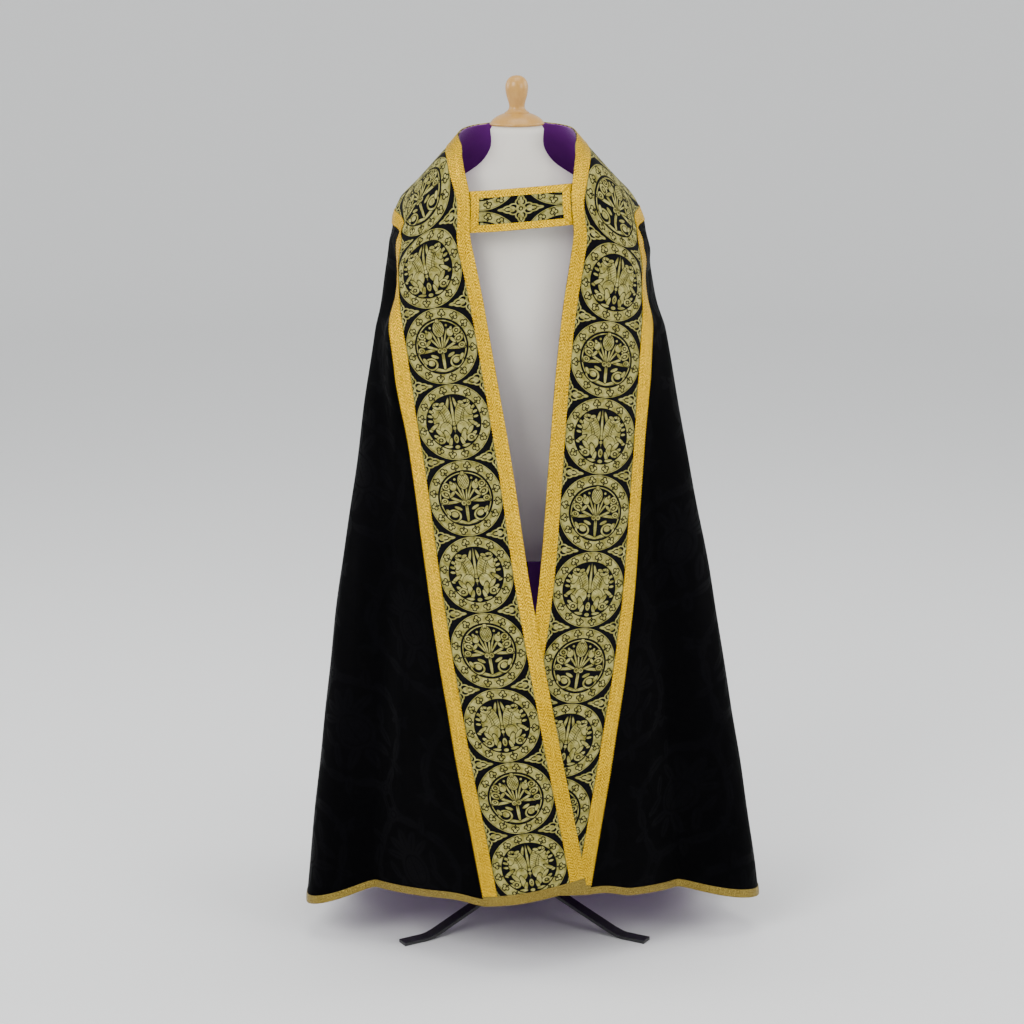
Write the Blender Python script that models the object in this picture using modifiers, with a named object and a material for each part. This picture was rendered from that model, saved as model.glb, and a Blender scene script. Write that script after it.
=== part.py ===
"""A cope on a limbless dress form: a half circle of black damask with orphrey bands, a morse,
gold braid and a violet neck lining, worn by a padded form on a pole with three strip legs."""
import math

import bmesh
import bpy
import numpy as np

# The cloth. Metres throughout; an azimuth is in degrees from the front, 0, to the back, 180.
WALL = 0.0020
SEAM = 0.0003
LINING_WALL = 0.0010
BRAID_WALL = 0.0010
BAND_WIDTH = 0.198
BRAID_WIDTH = 0.028
HEM_BRAID = 0.014
ORPHREY_HEM_BRAID = 0.020
OVERLAP_LIFT = 0.0062
ROUNDNESS = 2.6

# Seams, by azimuth: over the shoulder, and down the side of the back.
SHOULDER_SEAM = 97.0
BACK_SEAM = 128.0
YOKE_SIDE = 1.372
YOKE_DIP = 0.022
YOKE_GAP = 0.0006
BRAID_SET_BACK = 0.0006
NECK_SIDE = 1.520
NECK_BACK = 1.535

# Sections of the hanging cloth before its folds: height, half width, depth in front of the
# pole and depth behind it.
SECTIONS = (
    (1.560, 0.085, 0.020, 0.075),
    (1.535, 0.101, 0.036, 0.090),
    (1.515, 0.117, 0.056, 0.100),
    (1.490, 0.140, 0.085, 0.111),
    (1.460, 0.167, 0.108, 0.123),
    (1.425, 0.198, 0.125, 0.134),
    (1.390, 0.218, 0.136, 0.143),
    (1.340, 0.236, 0.147, 0.151),
    (1.220, 0.259, 0.164, 0.165),
    (1.060, 0.286, 0.193, 0.187),
    (0.900, 0.311, 0.230, 0.215),
    (0.720, 0.342, 0.268, 0.248),
    (0.520, 0.370, 0.294, 0.283),
    (0.310, 0.398, 0.297, 0.318),
    (0.100, 0.425, 0.280, 0.340),
    (0.020, 0.434, 0.272, 0.345),
)

# Crests and troughs of the hanging folds: azimuth at chest, hip and hem, how far the hem is
# pushed out or in, where the fold starts, how it grows, and the height of the hem there.
FOLDS = (
    ("front", 0, 0, 0, 0.000, 1.20, 1.0, 0.150),
    ("right valley", 75, 56, 60, -0.092, 1.40, 0.75, 0.110),
    ("right crest", 92, 80, 80, 0.030, 1.34, 1.2, 0.074),
    ("right side trough", 108, 100, 97, -0.030, 1.26, 1.2, 0.070),
    ("right back crest", 124, 118, 114, 0.040, 1.30, 1.2, 0.058),
    ("right back trough", 138, 136, 134, -0.045, 1.24, 1.3, 0.064),
    ("back crest", 154, 156, 157, 0.038, 1.32, 1.1, 0.050),
    ("middle trough", 176, 178, 180, -0.052, 1.28, 1.2, 0.060),
    ("left middle crest", 198, 200, 203, 0.042, 1.30, 1.1, 0.050),
    ("left back trough", 218, 222, 225, -0.046, 1.22, 1.3, 0.064),
    ("left back crest", 236, 241, 245, 0.036, 1.30, 1.2, 0.058),
    ("left side trough", 252, 258, 262, -0.034, 1.26, 1.2, 0.068),
    ("left crest", 268, 281, 282, -0.003, 1.34, 1.2, 0.076),
    ("left valley", 283, 306, 302, -0.095, 1.40, 0.75, 0.108),
)
CHEST, HIP, HEM_LEVEL = 1.30, 0.75, 0.10

# Where the two front edges run: height, and the azimuth of the left and of the right edge
# towards its own side, below 0 once it is past the middle.
EDGES = (
    (1.520, 97, 97),
    (1.505, 76, 76),
    (1.485, 58, 58),
    (1.442, 41, 42),
    (1.358, 32, 36),
    (1.278, 25, 30),
    (1.170, 17, 23),
    (0.974, 5, 14),
    (0.718, -4, 6),
    (0.434, -13, -4),
    (0.120, -24, -15),
)

# How much lower a band's outer edge lies than its inner edge, straight across the band: height
# of the inner edge, and the drop.
DROPS = (
    (1.520, 0.148),
    (1.505, 0.151),
    (1.485, 0.144),
    (1.462, 0.129),
    (1.435, 0.115),
    (1.400, 0.097),
    (1.358, 0.079),
    (1.315, 0.065),
    (1.270, 0.053),
    (1.170, 0.042),
    (1.000, 0.034),
    (0.120, 0.031),
)
BAND_HEM = {"left": 0.163, "right": 0.174}
SHOULDER_STATIONS = (1.520, 1.505, 1.485, 1.462, 1.435, 1.400, 1.360, 1.315, 1.270)
STATION_STEP = 0.076

# The morse, the band that holds the fronts together, tucked behind both of them.
MORSE_LEFT = (1.360, 1.433)
MORSE_RIGHT = (1.373, 1.445)
MORSE_TUCK = 5.0
MORSE_BRAID = 0.014
MORSE_DEPTH = 0.0030
MORSE_WALL = 0.0030

# The form inside, its pole and its feet. The form's sections: height, half width, depth in
# front of the pole and depth behind it.
TORSO = (
    (1.5400, 0.0490, 0.0480, 0.0480),
    (1.4950, 0.0510, 0.0500, 0.0500),
    (1.4700, 0.0700, 0.0540, 0.0560),
    (1.4500, 0.1000, 0.0600, 0.0620),
    (1.4250, 0.1420, 0.0680, 0.0700),
    (1.4080, 0.1780, 0.0740, 0.0760),
    (1.3900, 0.2142, 0.0780, 0.0800),
    (1.3600, 0.2140, 0.0880, 0.0900),
    (1.3000, 0.1920, 0.1030, 0.1030),
    (1.2200, 0.1780, 0.1120, 0.1080),
    (1.1200, 0.1640, 0.1060, 0.0980),
    (1.0200, 0.1560, 0.0990, 0.0920),
    (0.9200, 0.1660, 0.1040, 0.1080),
    (0.8300, 0.1740, 0.1060, 0.1160),
    (0.7600, 0.1680, 0.1000, 0.1080),
    (0.7400, 0.1540, 0.0880, 0.0960),
)
CAP = ((0.0, 1.5632), (0.020, 1.5628), (0.034, 1.5605), (0.0445, 1.5555), (0.0485, 1.5490),
       (0.0485, 1.5440), (0.0465, 1.5403), (0.0, 1.5403))
FINIAL = ((0.0, 1.6300), (0.0090, 1.6282), (0.0165, 1.6220), (0.0203, 1.6120), (0.0203, 1.6030),
          (0.0170, 1.5930), (0.0125, 1.5840), (0.0113, 1.5770), (0.0128, 1.5710), (0.0180, 1.5670),
          (0.0210, 1.5650), (0.0210, 1.5635), (0.0, 1.5635))
POLE_RADIUS = 0.0140
HUB_RADIUS = 0.0350
HUB_FLOOR, HUB_TOP = 0.0600, 0.0920
LEG_WIDTH = 0.0250
LEG_WALL = 0.0060
LEG_PATH = ((0.0366, 0.0780), (0.120, 0.0420), (0.195, 0.0100), (0.212, 0.0045), (0.222, 0.0030),
            (0.270, 0.0030))
LEG_AZIMUTHS = {"left": -60.0, "right": 60.0, "back": 180.0}

FINISHES = {
    "damask": ((0.012, 0.012, 0.016), 0.48, 0.0),
    "brocade": ((0.070, 0.072, 0.050), 0.50, 0.0),
    "braid": ((0.560, 0.400, 0.150), 0.38, 0.6),
    "lining": ((0.090, 0.040, 0.160), 0.55, 0.0),
    "jersey": ((0.760, 0.700, 0.600), 0.85, 0.0),
    "wood": ((0.640, 0.440, 0.250), 0.35, 0.0),
    "steel": ((0.020, 0.020, 0.022), 0.45, 0.8),
}


def clear_scene():
    for item in list(bpy.data.objects):
        bpy.data.objects.remove(item)


def finish(name):
    material = bpy.data.materials.get(name)
    if material is None:
        colour, roughness, metallic = FINISHES[name]
        material = bpy.data.materials.new(name)
        material.use_nodes = True
        shader = material.node_tree.nodes["Principled BSDF"]
        shader.inputs["Base Color"].default_value = (*colour, 1.0)
        shader.inputs["Roughness"].default_value = roughness
        shader.inputs["Metallic"].default_value = metallic
    return material


def smooth(value):
    value = min(max(value, 0.0), 1.0)
    return value * value * (3.0 - 2.0 * value)


def curve(rows):
    """A table's other columns as a function of height, on a smooth curve through its rows."""
    table = np.array(sorted(rows))
    heights, values = table[:, 0], table[:, 1:]
    slopes = np.gradient(values, heights, axis=0)

    def at(height):
        low = min(max(int(np.searchsorted(heights, height)) - 1, 0), len(heights) - 2)
        step = heights[low + 1] - heights[low]
        t = min(max((height - heights[low]) / step, 0.0), 1.0)
        return (
            (2 * t**3 - 3 * t**2 + 1) * values[low]
            + (t**3 - 2 * t**2 + t) * step * slopes[low]
            + (3 * t**2 - 2 * t**3) * values[low + 1]
            + (t**3 - t**2) * step * slopes[low + 1]
        )

    return at


section_at = curve(SECTIONS)
edge_at = curve(EDGES)
drop_at = curve(DROPS)


def ring(azimuth, height):
    """A point of the cloth before its folds: a squarish oval, deeper behind than in front."""
    width, front, back = section_at(height)
    across, along = math.sin(azimuth), math.cos(azimuth)
    depth = front if along > 0 else back
    reach = (abs(across) / width) ** ROUNDNESS + (abs(along) / depth) ** ROUNDNESS
    reach = reach ** (-1.0 / ROUNDNESS)
    return np.array((reach * across, -reach * along, height))


def fold_azimuth(chest, hip, hem_at, height):
    if height > HIP:
        return hip + (chest - hip) * min((height - HIP) / (CHEST - HIP), 1.0)
    return hem_at + (hip - hem_at) * max((height - HEM_LEVEL) / (HIP - HEM_LEVEL), 0.0)


def between_folds(azimuth, height):
    """The push of the folds and the hem's height, eased from each crest to the next trough."""
    turn = math.degrees(azimuth) % 360.0
    marks = []
    for _, chest, hip, hem_at, push, start, growth, hem in FOLDS:
        grown = max(start - height, 0.0) / (start - HEM_LEVEL)
        marks.append((fold_azimuth(chest, hip, hem_at, height), push * grown**growth, hem))
    marks.append((marks[0][0] + 360.0, marks[0][1], marks[0][2]))
    for (start_at, push_a, hem_a), (end_at, push_b, hem_b) in zip(marks, marks[1:]):
        if start_at <= turn <= end_at:
            part = smooth((turn - start_at) / (end_at - start_at))
            return push_a + (push_b - push_a) * part, hem_a + (hem_b - hem_a) * part
    return marks[0][1], marks[0][2]


def cloth(azimuth, height, side):
    """A point of the draped cloth; the left front lies on the right one where they cross."""
    here = ring(azimuth, height)
    along = ring(azimuth + 0.01, height) - ring(azimuth - 0.01, height)
    outward = np.array((along[1], -along[0], 0.0))
    outward /= np.linalg.norm(outward)
    push = between_folds(azimuth, height)[0]
    if side == "left":
        turn = (math.degrees(azimuth) + 180.0) % 360.0 - 180.0
        push += OVERLAP_LIFT * smooth((1.00 - height) / 0.16) * smooth((turn + 62.0) / 40.0)
    return here + outward * push


def cloth_and_normal(azimuth, height, side):
    step = 0.004
    around = cloth(azimuth + step, height, side) - cloth(azimuth - step, height, side)
    up = cloth(azimuth, height + step, side) - cloth(azimuth, height - step, side)
    normal = np.cross(around, up)
    return cloth(azimuth, height, side), normal / np.linalg.norm(normal)


def side_sign(side):
    return -1.0 if side == "left" else 1.0


def stations(side):
    """Heights of the band's inner edge, from the shoulder seam to the hem."""
    hem = BAND_HEM[side]
    first = SHOULDER_STATIONS[-1]
    count = round((first - hem) / STATION_STEP)
    straight = [first + (hem - first) * k / count for k in range(1, count)]
    return list(SHOULDER_STATIONS) + straight + [hem + ORPHREY_HEM_BRAID, hem]


def band_ends(side, inner_height):
    """Azimuth and height of the inner and the outer edge of a band at one station."""
    column = 0 if side == "left" else 1
    sign = side_sign(side)
    start = sign * math.radians(edge_at(inner_height)[column])
    outer_height = inner_height - drop_at(inner_height)[0]
    if inner_height == SHOULDER_STATIONS[0]:
        return start, inner_height, start, outer_height
    narrow, wide = 0.0, math.radians(110.0)
    for _ in range(30):
        middle = 0.5 * (narrow + wide)
        points = [cloth(start + sign * middle * t, inner_height + (outer_height - inner_height) * t,
                        side) for t in np.linspace(0.0, 1.0, 13)]
        length = sum(np.linalg.norm(b - a) for a, b in zip(points, points[1:]))
        if length < BAND_WIDTH:
            narrow = middle
        else:
            wide = middle
    return start, inner_height, start + sign * middle, outer_height


BAND_COLUMNS = (
    0.0,
    BRAID_WIDTH / 2,
    BRAID_WIDTH,
    BRAID_WIDTH + 0.0355,
    BAND_WIDTH / 2,
    BAND_WIDTH - BRAID_WIDTH - 0.0355,
    BAND_WIDTH - BRAID_WIDTH,
    BAND_WIDTH - BRAID_WIDTH / 2,
    BAND_WIDTH,
)


def front_band(side):
    rows = []
    for inner_height in stations(side):
        a0, z0, a1, z1 = band_ends(side, inner_height)
        shares = [distance / BAND_WIDTH for distance in BAND_COLUMNS]
        rows.append([cloth_and_normal(a0 + (a1 - a0) * t, z0 + (z1 - z0) * t, side) for t in shares])
    return split(rows)


def back_band(columns=22):
    """The band behind the neck, from shoulder seam to shoulder seam: a shaped piece."""
    rows = []
    for k in range(columns + 1):
        turn = SHOULDER_SEAM + (360.0 - 2 * SHOULDER_SEAM) * k / columns
        top = NECK_SIDE + (NECK_BACK - NECK_SIDE) * math.sin(math.pi * k / columns)
        low = yoke_height(turn)
        row = []
        for distance in BAND_COLUMNS:
            height = top + (low - top) * distance / BAND_WIDTH
            row.append(cloth_and_normal(math.radians(turn), height, "right"))
        rows.append(row)
    return split(rows)


def yoke_height(turn):
    """Height of the seam below the neck band, lowest in the middle of the back."""
    around = max(turn - SHOULDER_SEAM, 0.0) / (360.0 - 2 * SHOULDER_SEAM)
    return YOKE_SIDE - YOKE_DIP * math.sin(math.pi * around)


def body_point(turn, level, hem_outer, reach, side):
    """A point of the body: level with the bands' outer edges, then eased down to the hem."""
    azimuth = math.radians(turn)
    down = (YOKE_SIDE - level) / (YOKE_SIDE - hem_outer)
    hem = between_folds(azimuth, HEM_LEVEL)[1]
    around = min(turn % 360.0, 360.0 - turn % 360.0)
    dip = YOKE_SIDE - yoke_height(around)
    height = level + (hem - hem_outer) * down**3 * reach - dip * (1.0 - down)
    return cloth_and_normal(azimuth, height, side)


def body_levels(side):
    """Azimuth and height of the band's outer edge for each row of the body."""
    ends = [band_ends(side, height) for height in stations(side)]
    levels = [(math.degrees(end[2]), end[3]) for end in ends]
    share = HEM_BRAID / (levels[-2][1] - levels[-1][1])
    braid_top = tuple(low + (high - low) * share for high, low in zip(levels[-2], levels[-1]))
    return levels[:-1] + [braid_top, levels[-1]]


def split(rows):
    return np.array([[p for p, _ in row] for row in rows]), np.array([[n for _, n in row] for row in rows])


def body_panel(side, columns=27):
    """From the band's outer edge round to the seam in the back."""
    levels = body_levels(side)
    seam = side_sign(side) * BACK_SEAM
    rows = []
    for turn, level in levels:
        row = []
        for k in range(columns + 1):
            here = turn + (seam - turn) * k / columns
            reach = smooth((abs(here) - abs(turn)) / 16.0)
            row.append(body_point(here, level, levels[-1][1], reach, side))
        rows.append(row)
    return split(rows)


def back_panel(columns=25):
    """Between the two seams in the back, from the neck band to the hem."""
    rows = []
    right, left = body_levels("right"), body_levels("left")
    hem_low, hem_high = right[-1][1], left[-1][1]
    for (_, low), (_, high) in zip(right, left):
        row = []
        for k in range(columns + 1):
            part = k / columns
            turn = BACK_SEAM + (360.0 - 2 * BACK_SEAM) * part
            level = low + (high - low) * part
            row.append(body_point(turn, level, hem_low + (hem_high - hem_low) * part, 1.0, "right"))
        rows.append(row)
    return split(rows)


def inset(places, rows=(0.0, 0.0), columns=(0.0, 0.0)):
    """Draws a piece's edges in a little, so that it keeps clear of its neighbour at a seam."""
    moved = places.copy()
    pairs = (((0,), (1,), rows[0]), ((-1,), (-2,), rows[1]))
    for (edge,), (inner,), gap in pairs:
        along = places[inner] - places[edge]
        moved[edge] += along / np.linalg.norm(along, axis=-1, keepdims=True) * gap
    for edge, inner, gap in ((0, 1, columns[0]), (-1, -2, columns[1])):
        along = moved[:, inner] - moved[:, edge]
        moved[:, edge] += along / np.linalg.norm(along, axis=-1, keepdims=True) * gap
    return moved


def wall(name, places, normals, outer, thick, material, flip=False, left_out=()):
    """A closed wall: the grid's points moved out to its face, and in again by its thickness."""
    rows, columns = places.shape[:2]
    mesh = bmesh.new()
    faces = [(i, j) for i in range(rows - 1) for j in range(columns - 1) if (i, j) not in left_out]
    used = {corner for i, j in faces for corner in ((i, j), (i, j + 1), (i + 1, j + 1), (i + 1, j))}
    front, rear = {}, {}
    for i, j in sorted(used):
        front[i, j] = mesh.verts.new(places[i, j] + normals[i, j] * outer)
        rear[i, j] = mesh.verts.new(places[i, j] + normals[i, j] * (outer - thick))
    edges = {}
    for i, j in faces:
        corners = ((i, j), (i, j + 1), (i + 1, j + 1), (i + 1, j))
        for a, b in zip(corners, corners[1:] + corners[:1]):
            edges[a, b] = edges.get((a, b), 0) + 1
        for a, b, c in (corners[:3], (corners[0], corners[2], corners[3])):
            mesh.faces.new((front[c], front[b], front[a]))
            mesh.faces.new((rear[a], rear[b], rear[c]))
    for a, b in edges:
        if (b, a) not in edges:
            mesh.faces.new((front[a], front[b], rear[b]))
            mesh.faces.new((front[a], rear[b], rear[a]))
    if flip:
        bmesh.ops.reverse_faces(mesh, faces=mesh.faces[:])
    return add_object(name, mesh, material)


def add_object(name, mesh, material):
    data = bpy.data.meshes.new(name)
    mesh.to_mesh(data)
    mesh.free()
    data.materials.append(finish(material))
    item = bpy.data.objects.new(name, data)
    COPE.objects.link(item)
    return item


def add_orphreys(side):
    """One front band of brocade, its braids, and the wider braid across its hem."""
    flip = side == "left"
    places, normals = front_band(side)
    places = inset(places, rows=(SEAM / 2, 0.0), columns=(0.0, SEAM / 2))
    wall("orphrey_" + side, places, normals, 0.0, WALL, "brocade", flip)
    proud = SEAM + BRAID_WALL
    last = len(BAND_COLUMNS) - 3
    for label, columns in (("inner", slice(0, 3)), ("outer", slice(last, last + 3))):
        strip = inset(places[:-1, columns], rows=(0.0, SEAM), columns=(0.0, BRAID_SET_BACK))
        wall("braid_" + label + "_" + side, strip, normals[:-1, columns], proud, BRAID_WALL,
             "braid", flip)
    strip = inset(places[-2:], columns=(0.0, BRAID_SET_BACK))
    wall("hem_braid_orphrey_" + side, strip, normals[-2:], proud, BRAID_WALL, "braid", flip)


def add_neck():
    """The band behind the neck with its two braids, and the lining that shows inside it."""
    places, normals = back_band()
    places = inset(places, rows=(SEAM / 2, SEAM / 2), columns=(0.0, YOKE_GAP))
    wall("orphrey_back", places, normals, 0.0, WALL, "brocade", flip=True)
    proud = SEAM + BRAID_WALL
    last = len(BAND_COLUMNS) - 3
    wall("braid_inner_back", places[:, :3], normals[:, :3], proud, BRAID_WALL, "braid", flip=True)
    wall("braid_outer_back", places[:, last:], normals[:, last:], proud, BRAID_WALL, "braid", flip=True)
    wall("lining", places, normals, -WALL - SEAM, LINING_WALL, "lining", flip=True)


def add_body():
    left, left_normals = body_panel("left")
    right, right_normals = body_panel("right")
    back, back_normals = back_panel()
    half = SEAM / 2
    proud = SEAM + BRAID_WALL
    left = inset(left, rows=(half, 0.0), columns=(half, half))
    right = inset(right, rows=(half, 0.0), columns=(half, half))
    back = inset(back, rows=(half, 0.0), columns=(half, half))
    panels = (("left", left, left_normals, True), ("right", right, right_normals, False),
              ("back", back, back_normals, False))
    for label, places, normals, flip in panels:
        wall("body_" + label, places, normals, 0.0, WALL, "damask", flip)
        wall("hem_braid_" + label, places[-2:], normals[-2:], proud, BRAID_WALL, "braid", flip)


def add_morse():
    """A stiff panel behind the two inner edges, with a braid frame on what shows of it."""
    rows = 5
    ends = []
    for side, levels in (("left", MORSE_LEFT), ("right", MORSE_RIGHT)):
        column = 0 if side == "left" else 1
        sign = side_sign(side)
        heights = np.linspace(levels[1], levels[0], rows)
        ends.append([(sign * math.radians(edge_at(z)[column]), z) for z in heights])
    tuck = math.radians(MORSE_TUCK)
    edge = math.radians(0.9)
    frame = math.radians(6.0)
    places, normals = [], []
    for (left, z_left), (right, z_right) in zip(*ends):
        inner = np.linspace(left + edge + frame, right - edge - frame, 7)
        across = [left - tuck, left + edge, *inner, right - edge, right + tuck]
        row = []
        for azimuth in across:
            t = (azimuth - left) / (right - left)
            row.append(cloth_and_normal(azimuth, z_left + (z_right - z_left) * t, "right"))
        places.append([point for point, _ in row])
        normals.append([normal for _, normal in row])
    places, normals = np.array(places), np.array(normals)
    height = np.linalg.norm(places[-1] - places[0], axis=-1, keepdims=True)
    for row, share in ((1, MORSE_BRAID), (rows - 2, -MORSE_BRAID)):
        start = places[0] if share > 0 else places[-1]
        places[row] = start + (places[-1] - places[0]) / height * share
    places[2] = 0.5 * (places[1] + places[3])
    wall("morse", places, normals, -MORSE_DEPTH, MORSE_WALL, "brocade")
    shown, shown_normals = places[:, 1:-1], normals[:, 1:-1]
    middle = {(i, j) for i in (1, 2) for j in range(1, shown.shape[1] - 2)}
    wall("morse_braid", shown, shown_normals, -MORSE_DEPTH + SEAM + BRAID_WALL, BRAID_WALL,
         "braid", left_out=middle)


def add_torso(segments=36):
    """The padded body and neck: a loft of ovals, closed above and below."""
    mesh = bmesh.new()
    loops = []
    for height, width, front, back in TORSO:
        loop = []
        for k in range(segments):
            azimuth = 2 * math.pi * k / segments
            depth = front if math.cos(azimuth) > 0 else back
            loop.append(mesh.verts.new((width * math.sin(azimuth), -depth * math.cos(azimuth), height)))
        loops.append(loop)
    for above, below in zip(loops, loops[1:]):
        for k in range(segments):
            n = (k + 1) % segments
            mesh.faces.new((above[k], below[k], below[n], above[n]))
    mesh.faces.new(loops[0])
    mesh.faces.new(list(reversed(loops[-1])))
    bmesh.ops.recalc_face_normals(mesh, faces=mesh.faces[:])
    item = add_object("torso", mesh, "jersey")
    item.data.shade_smooth()
    return item


def add_turned(name, profile, material, steps=32):
    """A turned piece: its profile, outer side from top to bottom, swept by a Screw modifier."""
    data = bpy.data.meshes.new(name)
    points = [(radius, 0.0, height) for radius, height in profile]
    data.from_pydata(points, [(k, k + 1) for k in range(len(points) - 1)], [])
    data.materials.append(finish(material))
    item = bpy.data.objects.new(name, data)
    COPE.objects.link(item)
    screw = item.modifiers.new("turned", "SCREW")
    screw.steps = steps
    screw.render_steps = steps
    screw.use_merge_vertices = True
    screw.merge_threshold = 0.0001
    screw.use_smooth_shade = True
    return item


def add_rod(name, radius, low, high, material, segments=32):
    mesh = bmesh.new()
    bmesh.ops.create_cone(mesh, cap_ends=True, segments=segments, radius1=radius, radius2=radius,
                          depth=high - low)
    bmesh.ops.translate(mesh, vec=(0.0, 0.0, 0.5 * (low + high)), verts=mesh.verts[:])
    return add_object(name, mesh, material)


def add_leg(name, azimuth):
    """A flat strip of steel from the hub down to the floor, its foot bent level."""
    turn = math.radians(azimuth)
    outward = np.array((math.sin(turn), -math.cos(turn), 0.0))
    across = np.array((math.cos(turn), math.sin(turn), 0.0))
    path = [outward * radius + np.array((0.0, 0.0, height)) for radius, height in LEG_PATH]
    places, normals = [], []
    for k, point in enumerate(path):
        before, after = path[max(k - 1, 0)], path[min(k + 1, len(path) - 1)]
        along = after - before
        if k == len(path) - 2:
            along = path[-1] - point
        normal = np.cross(along / np.linalg.norm(along), across)
        places.append([point - across * LEG_WIDTH / 2, point, point + across * LEG_WIDTH / 2])
        normals.append([normal if normal[2] > 0 else -normal] * 3)
    wall(name, np.array(places), np.array(normals), LEG_WALL / 2, LEG_WALL, "steel")


def centre_on_floor():
    """Moves every piece so that the whole stands centred over the origin."""
    bpy.context.view_layer.update()
    depsgraph = bpy.context.evaluated_depsgraph_get()
    corners = []
    for item in COPE.objects:
        mesh = item.evaluated_get(depsgraph).data
        corners.extend(item.matrix_world @ vertex.co for vertex in mesh.vertices)
    corners = np.array(corners)
    middle = 0.5 * (corners.min(axis=0) + corners.max(axis=0))
    for item in COPE.objects:
        item.location.x -= middle[0]
        item.location.y -= middle[1]


clear_scene()
COPE = bpy.data.collections.new("cope_on_form")
bpy.context.scene.collection.children.link(COPE)
add_body()
for front in ("left", "right"):
    add_orphreys(front)
add_neck()
add_morse()
add_torso()
add_turned("neck_cap", CAP, "wood")
add_turned("finial", FINIAL, "wood")
add_rod("pole", POLE_RADIUS, HUB_TOP + SEAM, TORSO[-1][0] - SEAM, "steel")
add_rod("hub", HUB_RADIUS, HUB_FLOOR, HUB_TOP, "steel")
for leg, leg_azimuth in LEG_AZIMUTHS.items():
    add_leg("leg_" + leg, leg_azimuth)
centre_on_floor()
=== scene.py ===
import math

import bmesh
import bpy
import numpy as np
from mathutils import Matrix, Vector


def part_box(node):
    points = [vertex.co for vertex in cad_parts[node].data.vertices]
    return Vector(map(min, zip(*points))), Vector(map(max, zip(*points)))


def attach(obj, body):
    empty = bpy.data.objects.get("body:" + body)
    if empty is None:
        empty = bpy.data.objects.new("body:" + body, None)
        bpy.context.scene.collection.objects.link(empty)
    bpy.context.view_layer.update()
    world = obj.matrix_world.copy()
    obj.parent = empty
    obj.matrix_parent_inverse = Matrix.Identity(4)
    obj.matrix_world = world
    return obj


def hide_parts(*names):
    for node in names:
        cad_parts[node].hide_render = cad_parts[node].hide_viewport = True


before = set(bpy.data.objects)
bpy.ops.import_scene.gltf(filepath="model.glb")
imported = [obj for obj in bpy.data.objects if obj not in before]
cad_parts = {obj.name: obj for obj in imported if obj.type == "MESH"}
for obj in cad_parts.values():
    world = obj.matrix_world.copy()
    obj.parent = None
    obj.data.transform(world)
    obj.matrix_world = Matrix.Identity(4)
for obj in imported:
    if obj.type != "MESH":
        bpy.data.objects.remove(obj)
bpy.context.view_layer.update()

# Studio: a plain pale floor that turns up into a pale wall far away, lit by large soft lamps.
# The camera stands a little above the shoulder of the form and looks slightly down at it.
POLE_LOW, POLE_HIGH = (Vector(corner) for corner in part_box("pole"))
FORM_X, FORM_Y = 0.5 * (POLE_LOW.x + POLE_HIGH.x), 0.5 * (POLE_LOW.y + POLE_HIGH.y)
CAMERA_DISTANCE, CAMERA_HEIGHT = 4.60, 1.90
CAMERA_DOWN, CAMERA_LEAN = math.radians(13.27), math.radians(-0.55)
CAMERA_LENS = 87.9
CAMERA_ASIDE = -0.016


def simple_material(name, colour, roughness):
    material = bpy.data.materials.new(name)
    material.use_nodes = True
    shader = material.node_tree.nodes["Principled BSDF"]
    shader.inputs["Base Color"].default_value = (*colour, 1.0)
    shader.inputs["Roughness"].default_value = roughness
    return material


def add_piece(name, data, *materials):
    for material in materials:
        data.materials.append(material)
    piece = bpy.data.objects.new(name, data)
    bpy.context.scene.collection.objects.link(piece)
    return piece


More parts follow.
